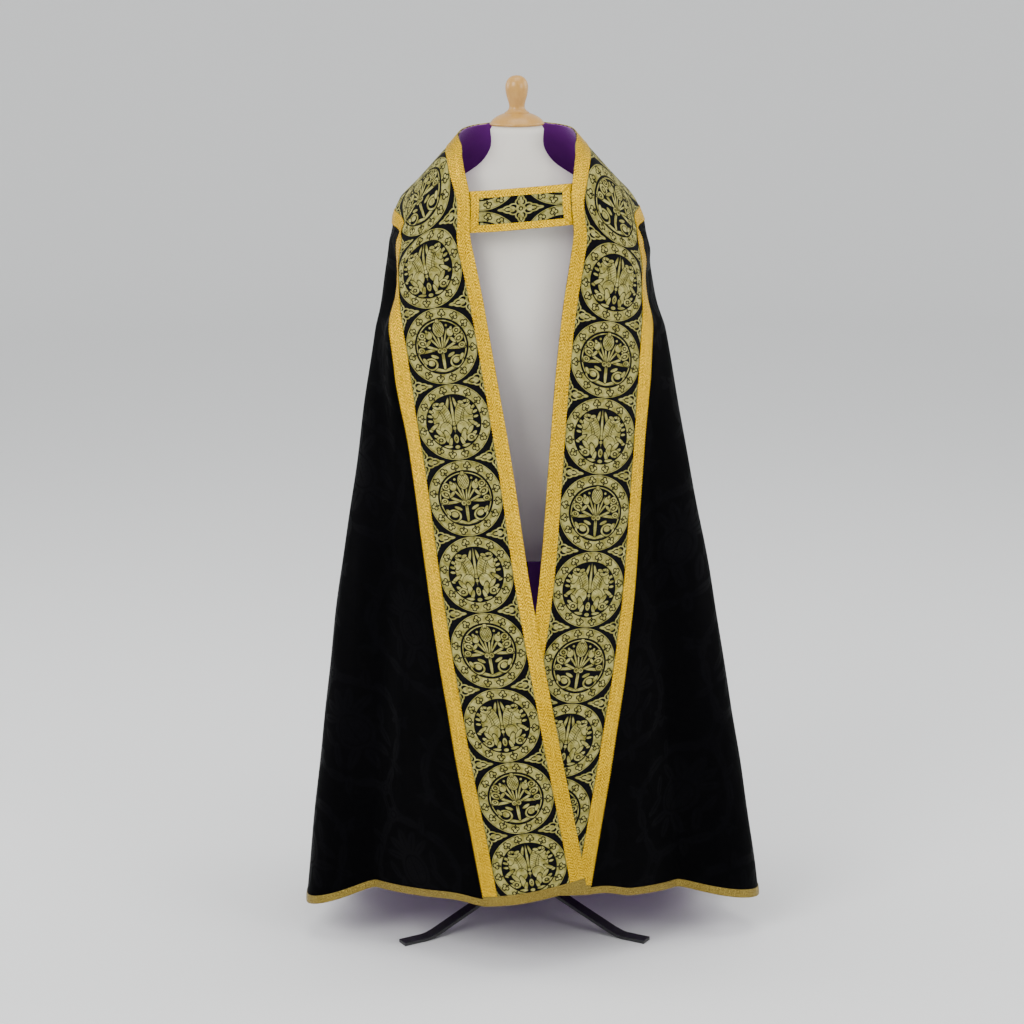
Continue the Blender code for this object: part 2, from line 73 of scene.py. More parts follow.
def make_studio():
    floor = bmesh.new()
    flat, bend, top, segments = 7.5, 2.0, 7.0, 96
    profile = [(flat * k / 6, 0.0) for k in range(7)]
    for k in range(1, 13):
        turn = math.pi / 2 * k / 12
        profile.append((flat + bend * math.sin(turn), bend - bend * math.cos(turn)))
    profile.append((flat + bend, top))
    middle = floor.verts.new((0.0, 0.0, -0.0005))
    rings = []
    for radius, z in profile[1:]:
        rings.append([floor.verts.new((radius * math.sin(2 * math.pi * k / segments),
                                       -radius * math.cos(2 * math.pi * k / segments), z - 0.0005))
                      for k in range(segments)])
    for k in range(segments):
        n = (k + 1) % segments
        floor.faces.new((middle, rings[0][k], rings[0][n]))
        for inner, outer in zip(rings, rings[1:]):
            floor.faces.new((inner[k], outer[k], outer[n], inner[n]))
    data = bpy.data.meshes.new("studio_floor")
    floor.to_mesh(data)
    floor.free()
    data.shade_smooth()
    add_piece("studio_floor", data, simple_material("pale paper", (0.92, 0.92, 0.915), 0.9))

    world = bpy.data.worlds.new("studio")
    world.use_nodes = True
    world.node_tree.nodes["Background"].inputs["Color"].default_value = (0.86, 0.88, 0.90, 1.0)
    world.node_tree.nodes["Background"].inputs["Strength"].default_value = 0.90
    bpy.context.scene.world = world

    lamps = (
        ("key", (-2.6, -3.4, 3.6), 2.4, 135.0),
        ("fill", (3.2, -2.6, 2.6), 2.2, 60.0),
        ("top", (0.2, -0.4, 4.4), 2.6, 50.0),
        ("left_side", (-3.4, 0.6, 2.4), 2.0, 45.0),
        ("right_side", (3.4, 0.8, 2.4), 2.0, 45.0),
    )
    for name, place, size, power in lamps:
        light = bpy.data.lights.new(name, "AREA")
        light.size = size
        light.energy = power
        lamp = bpy.data.objects.new(name, light)
        lamp.location = place
        lamp.visible_camera = False
        lamp.rotation_euler = (Vector((0, 0, 0.9)) - Vector(place)).to_track_quat("-Z", "Y").to_euler()
        bpy.context.scene.collection.objects.link(lamp)

    camera = bpy.data.objects.new("camera", bpy.data.cameras.new("camera"))
    camera.data.lens = CAMERA_LENS
    camera.data.sensor_width = 36.0
    place = Vector((FORM_X + CAMERA_ASIDE, FORM_Y - CAMERA_DISTANCE, CAMERA_HEIGHT))
    camera.matrix_world = (
        Matrix.Translation(place)
        @ Matrix.Rotation(math.radians(90.0) - CAMERA_DOWN, 4, "X")
        @ Matrix.Rotation(CAMERA_LEAN, 4, "Z")
    )
    bpy.context.scene.collection.objects.link(camera)
    bpy.context.scene.camera = camera


make_studio()

# The cope's body: one near half circle of black damask in three widths, hung from the shoulders.
# It is drawn from the same sections, folds and edges as its solids, finer and with its creases.
WALL = 0.0020
BAND_WIDTH, BRAID_WIDTH = 0.198, 0.028
HEM_BRAID, ORPHREY_HEM_BRAID = 0.014, 0.020
OVERLAP_LIFT, ROUNDNESS = 0.0062, 2.6
SHOULDER_SEAM, BACK_SEAM = 97.0, 128.0
YOKE_SIDE, YOKE_DIP = 1.372, 0.022
NECK_SIDE, NECK_BACK = 1.529, 1.540
CHEST, HIP, HEM_LEVEL = 1.30, 0.75, 0.10
BODY_ROWS, SIDE_COLUMNS, BACK_COLUMNS = 190, 104, 96
DOWN_THE_BAND = np.linspace(0.0, 1.0, BODY_ROWS + 1)

# height, half width, depth in front of the pole, depth behind it
SECTIONS = (
    (1.560, 0.085, 0.020, 0.075),
    (1.535, 0.101, 0.036, 0.090),
    (1.515, 0.117, 0.056, 0.100),
    (1.490, 0.140, 0.085, 0.111),
    (1.460, 0.167, 0.108, 0.123),
    (1.425, 0.198, 0.125, 0.134),
    (1.390, 0.218, 0.136, 0.143),
    (1.340, 0.236, 0.147, 0.151),
    (1.220, 0.259, 0.164, 0.165),
    (1.060, 0.286, 0.193, 0.187),
    (0.900, 0.311, 0.230, 0.215),
    (0.720, 0.342, 0.268, 0.248),
    (0.520, 0.370, 0.294, 0.283),
    (0.310, 0.398, 0.297, 0.318),
    (0.100, 0.425, 0.280, 0.340),
    (0.020, 0.434, 0.272, 0.345),
)
# fold, azimuth at chest, hip and hem, push at the hem, start, growth, height of the hem
FOLDS = (
    ("front", 0, 0, 0, 0.000, 1.20, 1.0, 0.150),
    ("right valley", 75, 56, 60, -0.092, 1.40, 0.75, 0.110),
    ("right crest", 92, 80, 80, 0.030, 1.34, 1.2, 0.074),
    ("right side trough", 108, 100, 97, -0.030, 1.26, 1.2, 0.070),
    ("right back crest", 124, 118, 114, 0.040, 1.30, 1.2, 0.058),
    ("right back trough", 138, 136, 134, -0.045, 1.24, 1.3, 0.064),
    ("back crest", 154, 156, 157, 0.038, 1.32, 1.1, 0.050),
    ("middle trough", 176, 178, 180, -0.052, 1.28, 1.2, 0.060),
    ("left middle crest", 198, 200, 203, 0.042, 1.30, 1.1, 0.050),
    ("left back trough", 218, 222, 225, -0.046, 1.22, 1.3, 0.064),
    ("left back crest", 236, 241, 245, 0.022, 1.30, 1.2, 0.058),
    ("left side trough", 252, 258, 262, -0.034, 1.26, 1.2, 0.068),
    ("left crest", 268, 281, 282, -0.003, 1.34, 1.2, 0.070),
    ("left valley", 283, 306, 302, -0.095, 1.40, 0.75, 0.116),
)
# height, azimuth of the left and of the right front edge, towards its own side
EDGES = (
    (1.529, 97, 97),
    (1.519, 77, 78),
    (1.505, 64, 66),
    (1.485, 53, 55),
    (1.442, 39, 42),
    (1.358, 32, 36),
    (1.278, 25, 30),
    (1.170, 17, 23),
    (0.974, 5, 14),
    (0.718, -4, 6),
    (0.434, -13, -4),
    (0.120, -24, -15),
)
# height of a band's inner edge, and how much lower its outer edge lies
DROPS = (
    (1.529, 0.157),
    (1.518, 0.160),
    (1.503, 0.154),
    (1.482, 0.142),
    (1.460, 0.128),
    (1.435, 0.115),
    (1.400, 0.097),
    (1.358, 0.079),
    (1.315, 0.065),
    (1.270, 0.053),
    (1.170, 0.042),
    (1.000, 0.034),
    (0.120, 0.031),
)
BAND_HEM = {"left": 0.163, "right": 0.174}
SHOULDER_STATIONS = (1.529, 1.518, 1.503, 1.482, 1.458, 1.430, 1.400, 1.360, 1.315, 1.270)
STATION_STEP = 0.076

# Creases pressed and pulled into the hanging cloth, as soft troughs below 0 and ridges above:
# azimuth and height of the upper and the lower end, half width in degrees, depth
CREASES = (
    (-92, 1.44, -80, 1.34, 7.0, 0.0080),
    (-86, 1.33, -80, 1.17, 8.0, -0.0160),
    (92, 1.44, 84, 1.33, 7.0, 0.0060),
    (90, 1.31, 84, 1.17, 8.0, -0.0120),
    (-78, 1.26, -60, 0.98, 8.0, 0.0150),
    (80, 1.26, 66, 0.98, 8.0, 0.0100),
    (-84, 1.34, -70, 0.95, 5.0, -0.0045),
    (-96, 1.30, -88, 0.62, 5.5, -0.0050),
    (-66, 1.12, -58, 0.70, 4.0, 0.0030),
    (-112, 1.25, -104, 0.80, 5.0, 0.0040),
    (-74, 0.86, -70, 0.40, 4.0, -0.0040),
    (-92, 0.60, -86, 0.24, 4.5, 0.0040),
    (-48, 0.62, -46, 0.20, 4.0, 0.0035),
    (84, 1.32, 72, 0.98, 5.0, -0.0045),
    (98, 1.27, 90, 0.66, 5.0, -0.0040),
    (66, 1.06, 62, 0.62, 4.0, 0.0035),
    (112, 1.20, 106, 0.70, 5.0, 0.0040),
    (76, 0.78, 72, 0.36, 4.0, -0.0040),
    (88, 0.56, 86, 0.22, 4.5, 0.0035),
    (48, 0.54, 47, 0.22, 4.0, 0.0030),
    (-30, 1.40, -20, 1.22, 6.0, -0.0035),
    (-46, 1.30, -26, 1.06, 5.0, 0.0030),
    (-22, 0.98, -8, 0.80, 5.0, -0.0030),
    (-16, 0.66, 4, 0.46, 5.0, 0.0025),
    (44, 1.36, 30, 1.12, 6.0, -0.0035),
    (34, 0.98, 22, 0.72, 5.0, 0.0030),
    (28, 0.60, 22, 0.34, 4.0, -0.0025),
    (146, 1.28, 144, 0.80, 5.0, -0.0045),
    (166, 1.30, 168, 0.70, 5.0, 0.0040),
    (-170, 1.26, -168, 0.86, 4.5, -0.0040),
    (-150, 1.28, -148, 0.66, 5.0, 0.0045),
    (-128, 1.22, -130, 0.72, 5.0, -0.0040),
    (172, 0.62, 174, 0.24, 4.0, -0.0040),
    (-158, 0.56, -160, 0.20, 4.5, 0.0035),
)


def way_along(points):
    """How far along a line each of its points lies."""
    return np.concatenate(([0.0], np.cumsum(np.linalg.norm(np.diff(points, axis=0), axis=-1))))


def smooth(value):
    value = np.clip(value, 0.0, 1.0)
    return value * value * (3.0 - 2.0 * value)


def curve(rows):
    """A table's other columns as a function of its first, on a smooth curve through its rows."""
    table = np.array(sorted(rows), float)
    keys, values = table[:, 0], table[:, 1:]
    slopes = np.gradient(values, keys, axis=0)

    def at(key):
        key = np.asarray(key, float)
        low = np.clip(np.searchsorted(keys, key) - 1, 0, len(keys) - 2)
        step = keys[low + 1] - keys[low]
        t = np.clip((key - keys[low]) / step, 0.0, 1.0)[..., None]
        step = step[..., None]
        return (
            (2 * t**3 - 3 * t**2 + 1) * values[low]
            + (t**3 - 2 * t**2 + t) * step * slopes[low]
            + (3 * t**2 - 2 * t**3) * values[low + 1]
            + (t**3 - t**2) * step * slopes[low + 1]
        )

    return at


section_at, edge_at, drop_at = curve(SECTIONS), curve(EDGES), curve(DROPS)


def ring(azimuth, height):
    width, front, back = np.moveaxis(section_at(height), -1, 0)
    across, along = np.sin(azimuth), np.cos(azimuth)
    depth = np.where(along > 0, front, back)
    reach = ((np.abs(across) / width) ** ROUNDNESS + (np.abs(along) / depth) ** ROUNDNESS)
    reach = reach ** (-1.0 / ROUNDNESS)
    return np.stack((reach * across, -reach * along, height + 0.0 * reach), axis=-1)


def between_folds(azimuth, height):
    """Push of the folds and height of the hem, eased from each crest to the next trough."""
    turn = np.degrees(azimuth) % 360.0
    marks = []
    for _, chest, hip, hem_at, push, start, growth, hem in FOLDS:
        upper = hip + (chest - hip) * np.clip((height - HIP) / (CHEST - HIP), 0.0, 1.0)
        lower = hem_at + (hip - hem_at) * np.maximum((height - HEM_LEVEL) / (HIP - HEM_LEVEL), 0.0)
        grown = np.maximum(start - height, 0.0) / (start - HEM_LEVEL)
        marks.append((np.where(height > HIP, upper, lower), push * grown**growth, hem))
    marks.append((marks[0][0] + 360.0, marks[0][1], marks[0][2]))
    push_here, hem_here = np.zeros(turn.shape), np.zeros(turn.shape)
    for (start_at, push_a, hem_a), (end_at, push_b, hem_b) in zip(marks, marks[1:]):
        part = smooth((turn - start_at) / (end_at - start_at))
        here = (turn >= start_at) & (turn <= end_at)
        push_here = np.where(here, push_a + (push_b - push_a) * part, push_here)
        hem_here = np.where(here, hem_a + (hem_b - hem_a) * part, hem_here)
    return push_here, hem_here


def creased(azimuth, height):
    """Depth of the creases at a place, each fading out towards its ends and its sides."""
    turn = np.degrees(azimuth)
    total = np.zeros(np.broadcast(turn, height).shape)
    for top_turn, top, low_turn, low, half, depth in CREASES:
        down = (top - height) / (top - low)
        middle = top_turn + (low_turn - top_turn) * down
        aside = (turn - middle + 180.0) % 360.0 - 180.0
        length = smooth(down / 0.35 + 0.1) * smooth((1.0 - down) / 0.45 + 0.1)
        total += depth * length * np.exp(-((aside / half) ** 2))
    ripple = np.sin(3.0 * azimuth + 9.0 * height) * np.sin(23.0 * height + 2.0 * np.sin(2.0 * azimuth))
    return total + 0.0009 * ripple


def cloth(azimuth, height, side):
    azimuth, height = np.broadcast_arrays(np.asarray(azimuth, float), np.asarray(height, float))
    here = ring(azimuth, height)
    along = ring(azimuth + 0.01, height) - ring(azimuth - 0.01, height)
    outward = np.stack((along[..., 1], -along[..., 0], np.zeros(azimuth.shape)), axis=-1)
    outward /= np.linalg.norm(outward, axis=-1, keepdims=True)
    push = between_folds(azimuth, height)[0] + creased(azimuth, height)
    if side == "left":
        turn = (np.degrees(azimuth) + 180.0) % 360.0 - 180.0
        push = push + OVERLAP_LIFT * smooth((1.00 - height) / 0.16) * smooth((turn + 62.0) / 40.0)
    return here + outward * push[..., None] + (FORM_X, FORM_Y, 0.0)


def cloth_and_normals(azimuth, height, side):
    step = 0.004
    around = cloth(azimuth + step, height, side) - cloth(azimuth - step, height, side)
    up = cloth(azimuth, height + step, side) - cloth(azimuth, height - step, side)
    normals = np.cross(around, up)
    return cloth(azimuth, height, side), normals / np.linalg.norm(normals, axis=-1, keepdims=True)


def side_sign(side):
    return -1.0 if side == "left" else 1.0


def band_track(side):
    """Inner and outer edge of a front band, as a smooth function of the way down it, 0 to 1."""
    first, hem = SHOULDER_STATIONS[-1], BAND_HEM[side]
    count = round((first - hem) / STATION_STEP)
    heights = np.array(list(SHOULDER_STATIONS) + [first + (hem - first) * k / count
                                                  for k in range(1, count + 1)])
    sign = side_sign(side)
    start = sign * np.radians(edge_at(heights)[:, 0 if side == "left" else 1])
    outer = heights - drop_at(heights)[:, 0]
    narrow, wide = np.zeros(len(heights)), np.full(len(heights), math.radians(110.0))
    shares = np.linspace(0.0, 1.0, 13)[None, :]
    for _ in range(30):
        middle = 0.5 * (narrow + wide)
        points = cloth(start[:, None] + sign * middle[:, None] * shares,
                       heights[:, None] + (outer - heights)[:, None] * shares, side)
        length = np.linalg.norm(np.diff(points, axis=1), axis=-1).sum(axis=1)
        short = length < BAND_WIDTH
        narrow, wide = np.where(short, middle, narrow), np.where(short, wide, middle)
    middle[0] = 0.0
    end = start + sign * middle
    centre = cloth(0.5 * (start + end), 0.5 * (heights + outer), side)
    way = way_along(centre)
    rows = np.stack((way / way[-1], start, heights, end, outer), axis=1)
    return curve([tuple(row) for row in rows]), way[-1]


TRACKS = {side: band_track(side) for side in ("left", "right")}


def yoke_height(turn):
    around = np.clip((turn - SHOULDER_SEAM) / (360.0 - 2 * SHOULDER_SEAM), 0.0, 1.0)
    return YOKE_SIDE - YOKE_DIP * np.sin(math.pi * around)


def body_points(turn, level, hem_outer, reach, side):
    azimuth = np.radians(turn)
    down = (YOKE_SIDE - level) / (YOKE_SIDE - hem_outer)
    hem = between_folds(azimuth, np.full(azimuth.shape, HEM_LEVEL))[1]
    around = np.minimum(turn % 360.0, 360.0 - turn % 360.0)
    dip = YOKE_SIDE - yoke_height(around)
    height = level + (hem - hem_outer) * np.maximum(down, 0.0) ** 3 * reach - dip * (1.0 - down)
    return cloth_and_normals(azimuth, height, side)


def side_panel(side, columns):
    ends = TRACKS[side][0](DOWN_THE_BAND)
    turn, level = np.degrees(ends[:, 2])[:, None], ends[:, 3][:, None]
    seam = side_sign(side) * BACK_SEAM
    here = turn + (seam - turn) * np.linspace(0.0, 1.0, columns + 1)[None, :]
    reach = smooth((np.abs(here) - np.abs(turn)) / 16.0)
    return body_points(here, level + 0.0 * here, level[-1, 0], reach, side)


def back_panel(columns):
    low = TRACKS["right"][0](DOWN_THE_BAND)[:, 3][:, None]
    high = TRACKS["left"][0](DOWN_THE_BAND)[:, 3][:, None]
    part = np.linspace(0.0, 1.0, columns + 1)[None, :]
    turn = BACK_SEAM + (360.0 - 2 * BACK_SEAM) * part
    level = low + (high - low) * part
    hem = low[-1, 0] + (high[-1, 0] - low[-1, 0]) * part
    return body_points(turn + 0.0 * level, level, hem + 0.0 * level, 1.0, "right")


def inset(places, rows=(0.0, 0.0), columns=(0.0, 0.0)):
    moved = places.copy()
    for edge, inner, gap in ((0, 1, rows[0]), (-1, -2, rows[1])):
        along = places[inner] - places[edge]
        moved[edge] += along / np.linalg.norm(along, axis=-1, keepdims=True) * gap
    for edge, inner, gap in ((0, 1, columns[0]), (-1, -2, columns[1])):
        along = moved[:, inner] - moved[:, edge]
        moved[:, edge] += along / np.linalg.norm(along, axis=-1, keepdims=True) * gap
    return moved


def woven_wall(name, places, normals, front, rear, lay, flip, materials, holes=()):
    """A thin closed cloth: its face, its back and its cut edges, with a lay in metres as its UV."""
    rows, columns = places.shape[:2]
    number = np.arange(rows * columns).reshape(rows, columns)
    face = (places + normals * np.asarray(front)[..., None]).reshape(-1, 3)
    back = (places + normals * np.asarray(rear)[..., None]).reshape(-1, 3)
    cells = [(i, j) for i in range(rows - 1) for j in range(columns - 1) if (i, j) not in holes]
    quads, slots, rim = [], [], {}
    shift = rows * columns
    for i, j in cells:
        corners = [int(number[i, j]), int(number[i + 1, j]), int(number[i + 1, j + 1]),
                   int(number[i, j + 1])]
        quads.append(corners)
        slots.append(0)
        quads.append([c + shift for c in reversed(corners)])
        slots.append(len(materials) - 1)
        for a, b in zip(corners, corners[1:] + corners[:1]):
            rim[a, b] = True
    for a, b in rim:
        if (b, a) not in rim:
            quads.append([b, a, a + shift, b + shift])
            slots.append(0)
    if flip:
        quads = [list(reversed(quad)) for quad in quads]
    data = bpy.data.meshes.new(name)
    data.from_pydata(np.concatenate((face, back)).tolist(), [], quads)
    uv = data.uv_layers.new(name="lay")
    flat = np.concatenate((lay.reshape(-1, 2), lay.reshape(-1, 2)))
    loops = np.empty(len(data.loops), int)
    data.loops.foreach_get("vertex_index", loops)
    uv.data.foreach_set("uv", flat[loops].ravel())
    data.polygons.foreach_set("material_index", slots)
    piece = add_piece(name, data, *materials)
    loose = bmesh.new()
    loose.from_mesh(data)
    bmesh.ops.delete(loose, geom=[v for v in loose.verts if not v.link_faces], context="VERTS")
    loose.to_mesh(data)
    loose.free()
    data.shade_smooth()
    data.set_sharp_from_angle(angle=math.radians(50.0))
    return piece


class Paint:
    """Draws with a shader tree: numbers, shapes and mixes become its nodes."""

    def __init__(self, tree):
        self.tree = tree

    def node(self, kind, **settings):
        made = self.tree.nodes.new(kind)
        for key, value in settings.items():
            setattr(made, key, value)
        return made

    def put(self, socket, value):
        if isinstance(value, bpy.types.NodeSocket):
            self.tree.links.new(value, socket)
        else:
            socket.default_value = value

    def math(self, operation, a, b=0.0, c=0.0, clamp=False):
        made = self.node("ShaderNodeMath", operation=operation, use_clamp=clamp)
        for socket, value in zip(made.inputs, (a, b, c)):
            self.put(socket, value)
        return made.outputs[0]

    def vector(self, x, y, z=0.0):
        made = self.node("ShaderNodeCombineXYZ")
        for socket, value in zip(made.inputs, (x, y, z)):
            self.put(socket, value)
        return made.outputs[0]

    def parts(self, vector):
        made = self.node("ShaderNodeSeparateXYZ")
        self.put(made.inputs[0], vector)
        return made.outputs[0], made.outputs[1]

    def oval(self, place, centre, radii, turn=0.0):
        """Distance from an oval's middle, 1 on its outline."""
        made = self.node("ShaderNodeMapping", vector_type="TEXTURE")
        self.put(made.inputs["Vector"], place)
        made.inputs["Location"].default_value = (*centre, 0.0)
        made.inputs["Rotation"].default_value = (0.0, 0.0, turn)
        made.inputs["Scale"].default_value = (*radii, 1.0)
        length = self.node("ShaderNodeVectorMath", operation="LENGTH")
        self.tree.links.new(made.outputs[0], length.inputs[0])
        return length.outputs["Value"]

    def within(self, distance, edge, crisp):
        """1 inside an edge and 0 outside, once it is clamped at the end of a drawing."""
        return self.math("MULTIPLY_ADD", distance, -crisp, edge * crisp + 0.5)

    def filled(self, place, centre, radii, turn=0.0, edge=12.0):
        return self.within(self.oval(place, centre, radii, turn), 1.0, edge * min(radii))

    def ringed(self, place, centre, radii, line, turn=0.0, edge=12.0):
        """The outline of an oval, as wide as the line."""
        away = self.apart(self.oval(place, centre, radii, turn), 1.0)
        return self.within(away, 0.5 * line / min(radii), edge * min(radii))

    def joined(self, *shapes):
        total = shapes[0]
        for shape in shapes[1:]:
            total = self.math("MAXIMUM", total, shape)
        return total

    def without(self, shape, taken):
        return self.math("MINIMUM", shape, self.math("SUBTRACT", 1.0, taken))

    def outlined(self, shape, line, edge=12.0):
        """The outline of a shape, as wide as the line."""
        away = self.apart(shape, 0.5)
        return self.math("SUBTRACT", 0.5 + 0.5 * edge * line, away)

    def apart(self, a, b):
        return self.math("ABSOLUTE", self.math("SUBTRACT", a, b))

    def wave(self, value, rate):
        return self.math("SINE", self.math("MULTIPLY", value, rate))

    def mix_value(self, factor, a, b):
        return self.math("MULTIPLY_ADD", factor, self.math("SUBTRACT", b, a), a)

    def clamped(self, value):
        return self.math("MAXIMUM", self.math("MINIMUM", value, 1.0), 0.0)

    def mix(self, factor, a, b):
        made = self.node("ShaderNodeMix", data_type="RGBA")
        self.put(made.inputs["Factor"], factor)
        for socket, value in ((made.inputs["A"], a), (made.inputs["B"], b)):
            self.put(socket, value if isinstance(value, bpy.types.NodeSocket) else (*value, 1.0))
        return made.outputs["Result"]

    def between(self, factor, low, high):
        made = self.node("ShaderNodeMapRange")
        self.put(made.inputs["Value"], factor)
        made.inputs["To Min"].default_value = low
        made.inputs["To Max"].default_value = high
        return made.outputs["Result"]

    def noise(self, place, scale, detail=3.0, roughness=0.5):
        made = self.node("ShaderNodeTexNoise")
        self.put(made.inputs["Vector"], place)
        made.inputs["Scale"].default_value = scale
        made.inputs["Detail"].default_value = detail
        made.inputs["Roughness"].default_value = roughness
        return made.outputs["Fac"]

    def surface(self, colour, roughness, normal, **others):
        shader = self.tree.nodes["Principled BSDF"]
        values = {"Base_Color": colour, "Roughness": roughness, "Normal": normal, **others}
        for label, value in values.items():
            self.put(shader.inputs[label.replace("_", " ")], value)

    def bump(self, height, strength, distance):
        made = self.node("ShaderNodeBump")
        self.put(made.inputs["Height"], height)
        made.inputs["Strength"].default_value = strength
        made.inputs["Distance"].default_value = distance
        return made.outputs["Normal"]


def shader_group(name, inputs, outputs, draw):
    group = bpy.data.node_groups.new(name, "ShaderNodeTree")
    for label, kind, value in inputs:
        socket = group.interface.new_socket(label, in_out="INPUT", socket_type=kind)
        if value is not None:
            socket.default_value = value
    for label in outputs:
        group.interface.new_socket(label, in_out="OUTPUT", socket_type="NodeSocketFloat")
    paint = Paint(group)
    source, result = paint.node("NodeGroupInput"), paint.node("NodeGroupOutput")
    for label, value in draw(paint, source.outputs).items():
        paint.put(result.inputs[label], value)
    return group


def new_material(name):
    material = bpy.data.materials.new(name)
    material.use_nodes = True
    return material, Paint(material.node_tree)


def use_group(paint, group, **values):
    made = paint.node("ShaderNodeGroup", node_tree=group)
    for label, value in values.items():
        paint.put(made.inputs[label.replace("_", " ")], value)
    return made.outputs


def draw_weave(paint, given):
    """Threads of a cloth: warp and weft ribs at a given spacing, broken a little by chance."""
    x, y = paint.parts(given["Place"])
    turn = paint.math("DIVIDE", 2 * math.pi, given["Spacing"])
    warp = paint.wave(x, turn)
    weft = paint.wave(y, turn)
    twill = paint.wave(paint.math("ADD", x, y), turn)
    plain = paint.math("MULTIPLY", warp, weft)
    threads = paint.math("ADD", paint.math("MULTIPLY", plain, 0.5), paint.math("MULTIPLY", twill, 0.35))
    slubs = paint.noise(given["Place"], 900.0, 2.0)
    return {"Threads": paint.math("MULTIPLY_ADD", threads, 0.5, slubs), "Slubs": slubs}


WEAVE = shader_group("weave", (("Place", "NodeSocketVector", None), ("Spacing", "NodeSocketFloat", 0.001)),
                     ("Threads", "Slubs"), draw_weave)

DAMASK_WIDTH, DAMASK_HEIGHT = 0.210, 0.300


def draw_damask(paint, given):
    """One repeat, drawn in centimetres: a fruit in an ogee of stems, with leaves and rosettes."""
    x, y = paint.parts(given["Place"])
    column = paint.math("FLOOR", paint.math("DIVIDE", x, DAMASK_WIDTH))
    odd = paint.math("MODULO", paint.math("ABSOLUTE", column), 2.0)
    dropped = paint.math("MULTIPLY_ADD", odd, DAMASK_HEIGHT / 2, y)
    across = paint.math("SUBTRACT", paint.math("FRACT", paint.math("DIVIDE", x, DAMASK_WIDTH)), 0.5)
    along = paint.math("SUBTRACT", paint.math("FRACT", paint.math("DIVIDE", dropped, DAMASK_HEIGHT)), 0.5)
    u = paint.math("ABSOLUTE", paint.math("MULTIPLY", across, 100 * DAMASK_WIDTH))
    v = paint.math("MULTIPLY", along, 100 * DAMASK_HEIGHT)
    place = paint.vector(u, v)
    half_w, half_h = 50 * DAMASK_WIDTH, 50 * DAMASK_HEIGHT
    bow = paint.math("COSINE", paint.math("MULTIPLY", v, math.pi / half_h))
    stem = paint.math("SUBTRACT", u, paint.math("MULTIPLY_ADD", bow, 0.42 * half_w, 0.52 * half_w))
    stems = paint.within(paint.math("ABSOLUTE", stem), 0.42, 6.0)
    veins = paint.within(paint.math("ABSOLUTE", stem), 0.12, 6.0)
    shapes = [paint.without(stems, veins)]
    leaves = (
        ((0.0, 0.6), (3.1, 4.1), 0.0), ((0.0, 6.9), (1.0, 2.5), 0.0), ((1.9, 6.2), (0.9, 2.4), -0.55),
        ((3.4, 4.6), (0.8, 2.3), -1.0), ((2.3, -4.4), (0.9, 2.6), 0.75), ((0.0, -6.0), (0.9, 2.2), 0.0),
        ((4.7, -2.4), (0.8, 2.5), 0.35), ((5.2, 1.6), (0.7, 2.1), -0.25), ((8.2, 5.4), (0.9, 2.6), 0.65),
        ((7.1, -5.6), (0.9, 2.6), -0.65), ((3.2, 10.2), (0.9, 2.6), 0.95), ((2.6, -10.4), (0.9, 2.5), -0.9),
        ((6.0, 8.9), (0.7, 1.9), -0.4), ((5.6, -8.8), (0.7, 1.9), 0.5), ((9.6, -1.6), (0.7, 1.9), -0.3),
        ((9.4, 2.2), (0.7, 1.9), 0.4),
    )
    for centre, radii, turn in leaves:
        body = paint.filled(place, centre, radii, turn, edge=7.0)
        rib = paint.filled(place, centre, (0.14, 0.72 * radii[1]), turn, edge=10.0)
        shapes.append(paint.without(body, rib))
    figure = paint.joined(*shapes)
    seeds = paint.vector(paint.wave(u, 4.2), paint.wave(v, 4.2))
    seed_cut = paint.within(paint.oval(seeds, (0.0, 0.0), (0.55, 0.55)), 1.0, 2.0)
    heart = paint.filled(place, (0.0, 0.4), (1.9, 2.7), 0.0, edge=7.0)
    figure = paint.without(figure, paint.math("MINIMUM", heart, seed_cut))
    figure = paint.without(figure, paint.ringed(place, (0.0, 0.5), (2.3, 3.2), 0.28, edge=7.0))
    for centre, radius in (((10.5, 0.0), 2.2), ((10.5, 15.0), 2.6), ((0.0, 12.4), 1.9), ((0.0, -12.2), 1.7)):
        offset = paint.node("ShaderNodeVectorMath", operation="SUBTRACT")
        paint.put(offset.inputs[0], place)
        offset.inputs[1].default_value = (*centre, 0.0)
        du, dv = paint.parts(offset.outputs[0])
        petals = paint.math("COSINE", paint.math("MULTIPLY", paint.math("ARCTAN2", dv, du), 6.0))
        reach = paint.oval(place, centre, (radius, radius))
        edge = paint.math("SUBTRACT", reach, paint.math("MULTIPLY", petals, 0.16))
        rosette = paint.without(paint.within(edge, 0.84, 9.0),
                                paint.within(paint.apart(reach, 0.36), 0.07, 12.0))
        figure = paint.joined(figure, rosette)
    return {"Figure": paint.clamped(figure)}


DAMASK_FIGURE = shader_group("damask figure", (("Place", "NodeSocketVector", None),), ("Figure",),
                             draw_damask)


def damask_material():
    material, paint = new_material("black damask")
    place = paint.node("ShaderNodeUVMap", uv_map="lay").outputs[0]
    figure = use_group(paint, DAMASK_FIGURE, Place=place)["Figure"]
    weave = use_group(paint, WEAVE, Place=place, Spacing=0.0011)
    wear = paint.noise(place, 6.0, 4.0)
    ground = paint.mix(wear, (0.0002, 0.0002, 0.0005), (0.0004, 0.0004, 0.0008))
    satin = paint.mix(wear, (0.0005, 0.0005, 0.0010), (0.0009, 0.0009, 0.0016))
    shine = paint.between(figure, 0.62, 0.42)
    paint.surface(paint.mix(figure, ground, satin),
                  paint.math("MULTIPLY_ADD", weave["Slubs"], 0.08, shine),
                  paint.bump(weave["Threads"], 0.10, 0.0006),
                  Specular_IOR_Level=0.025)
    return material


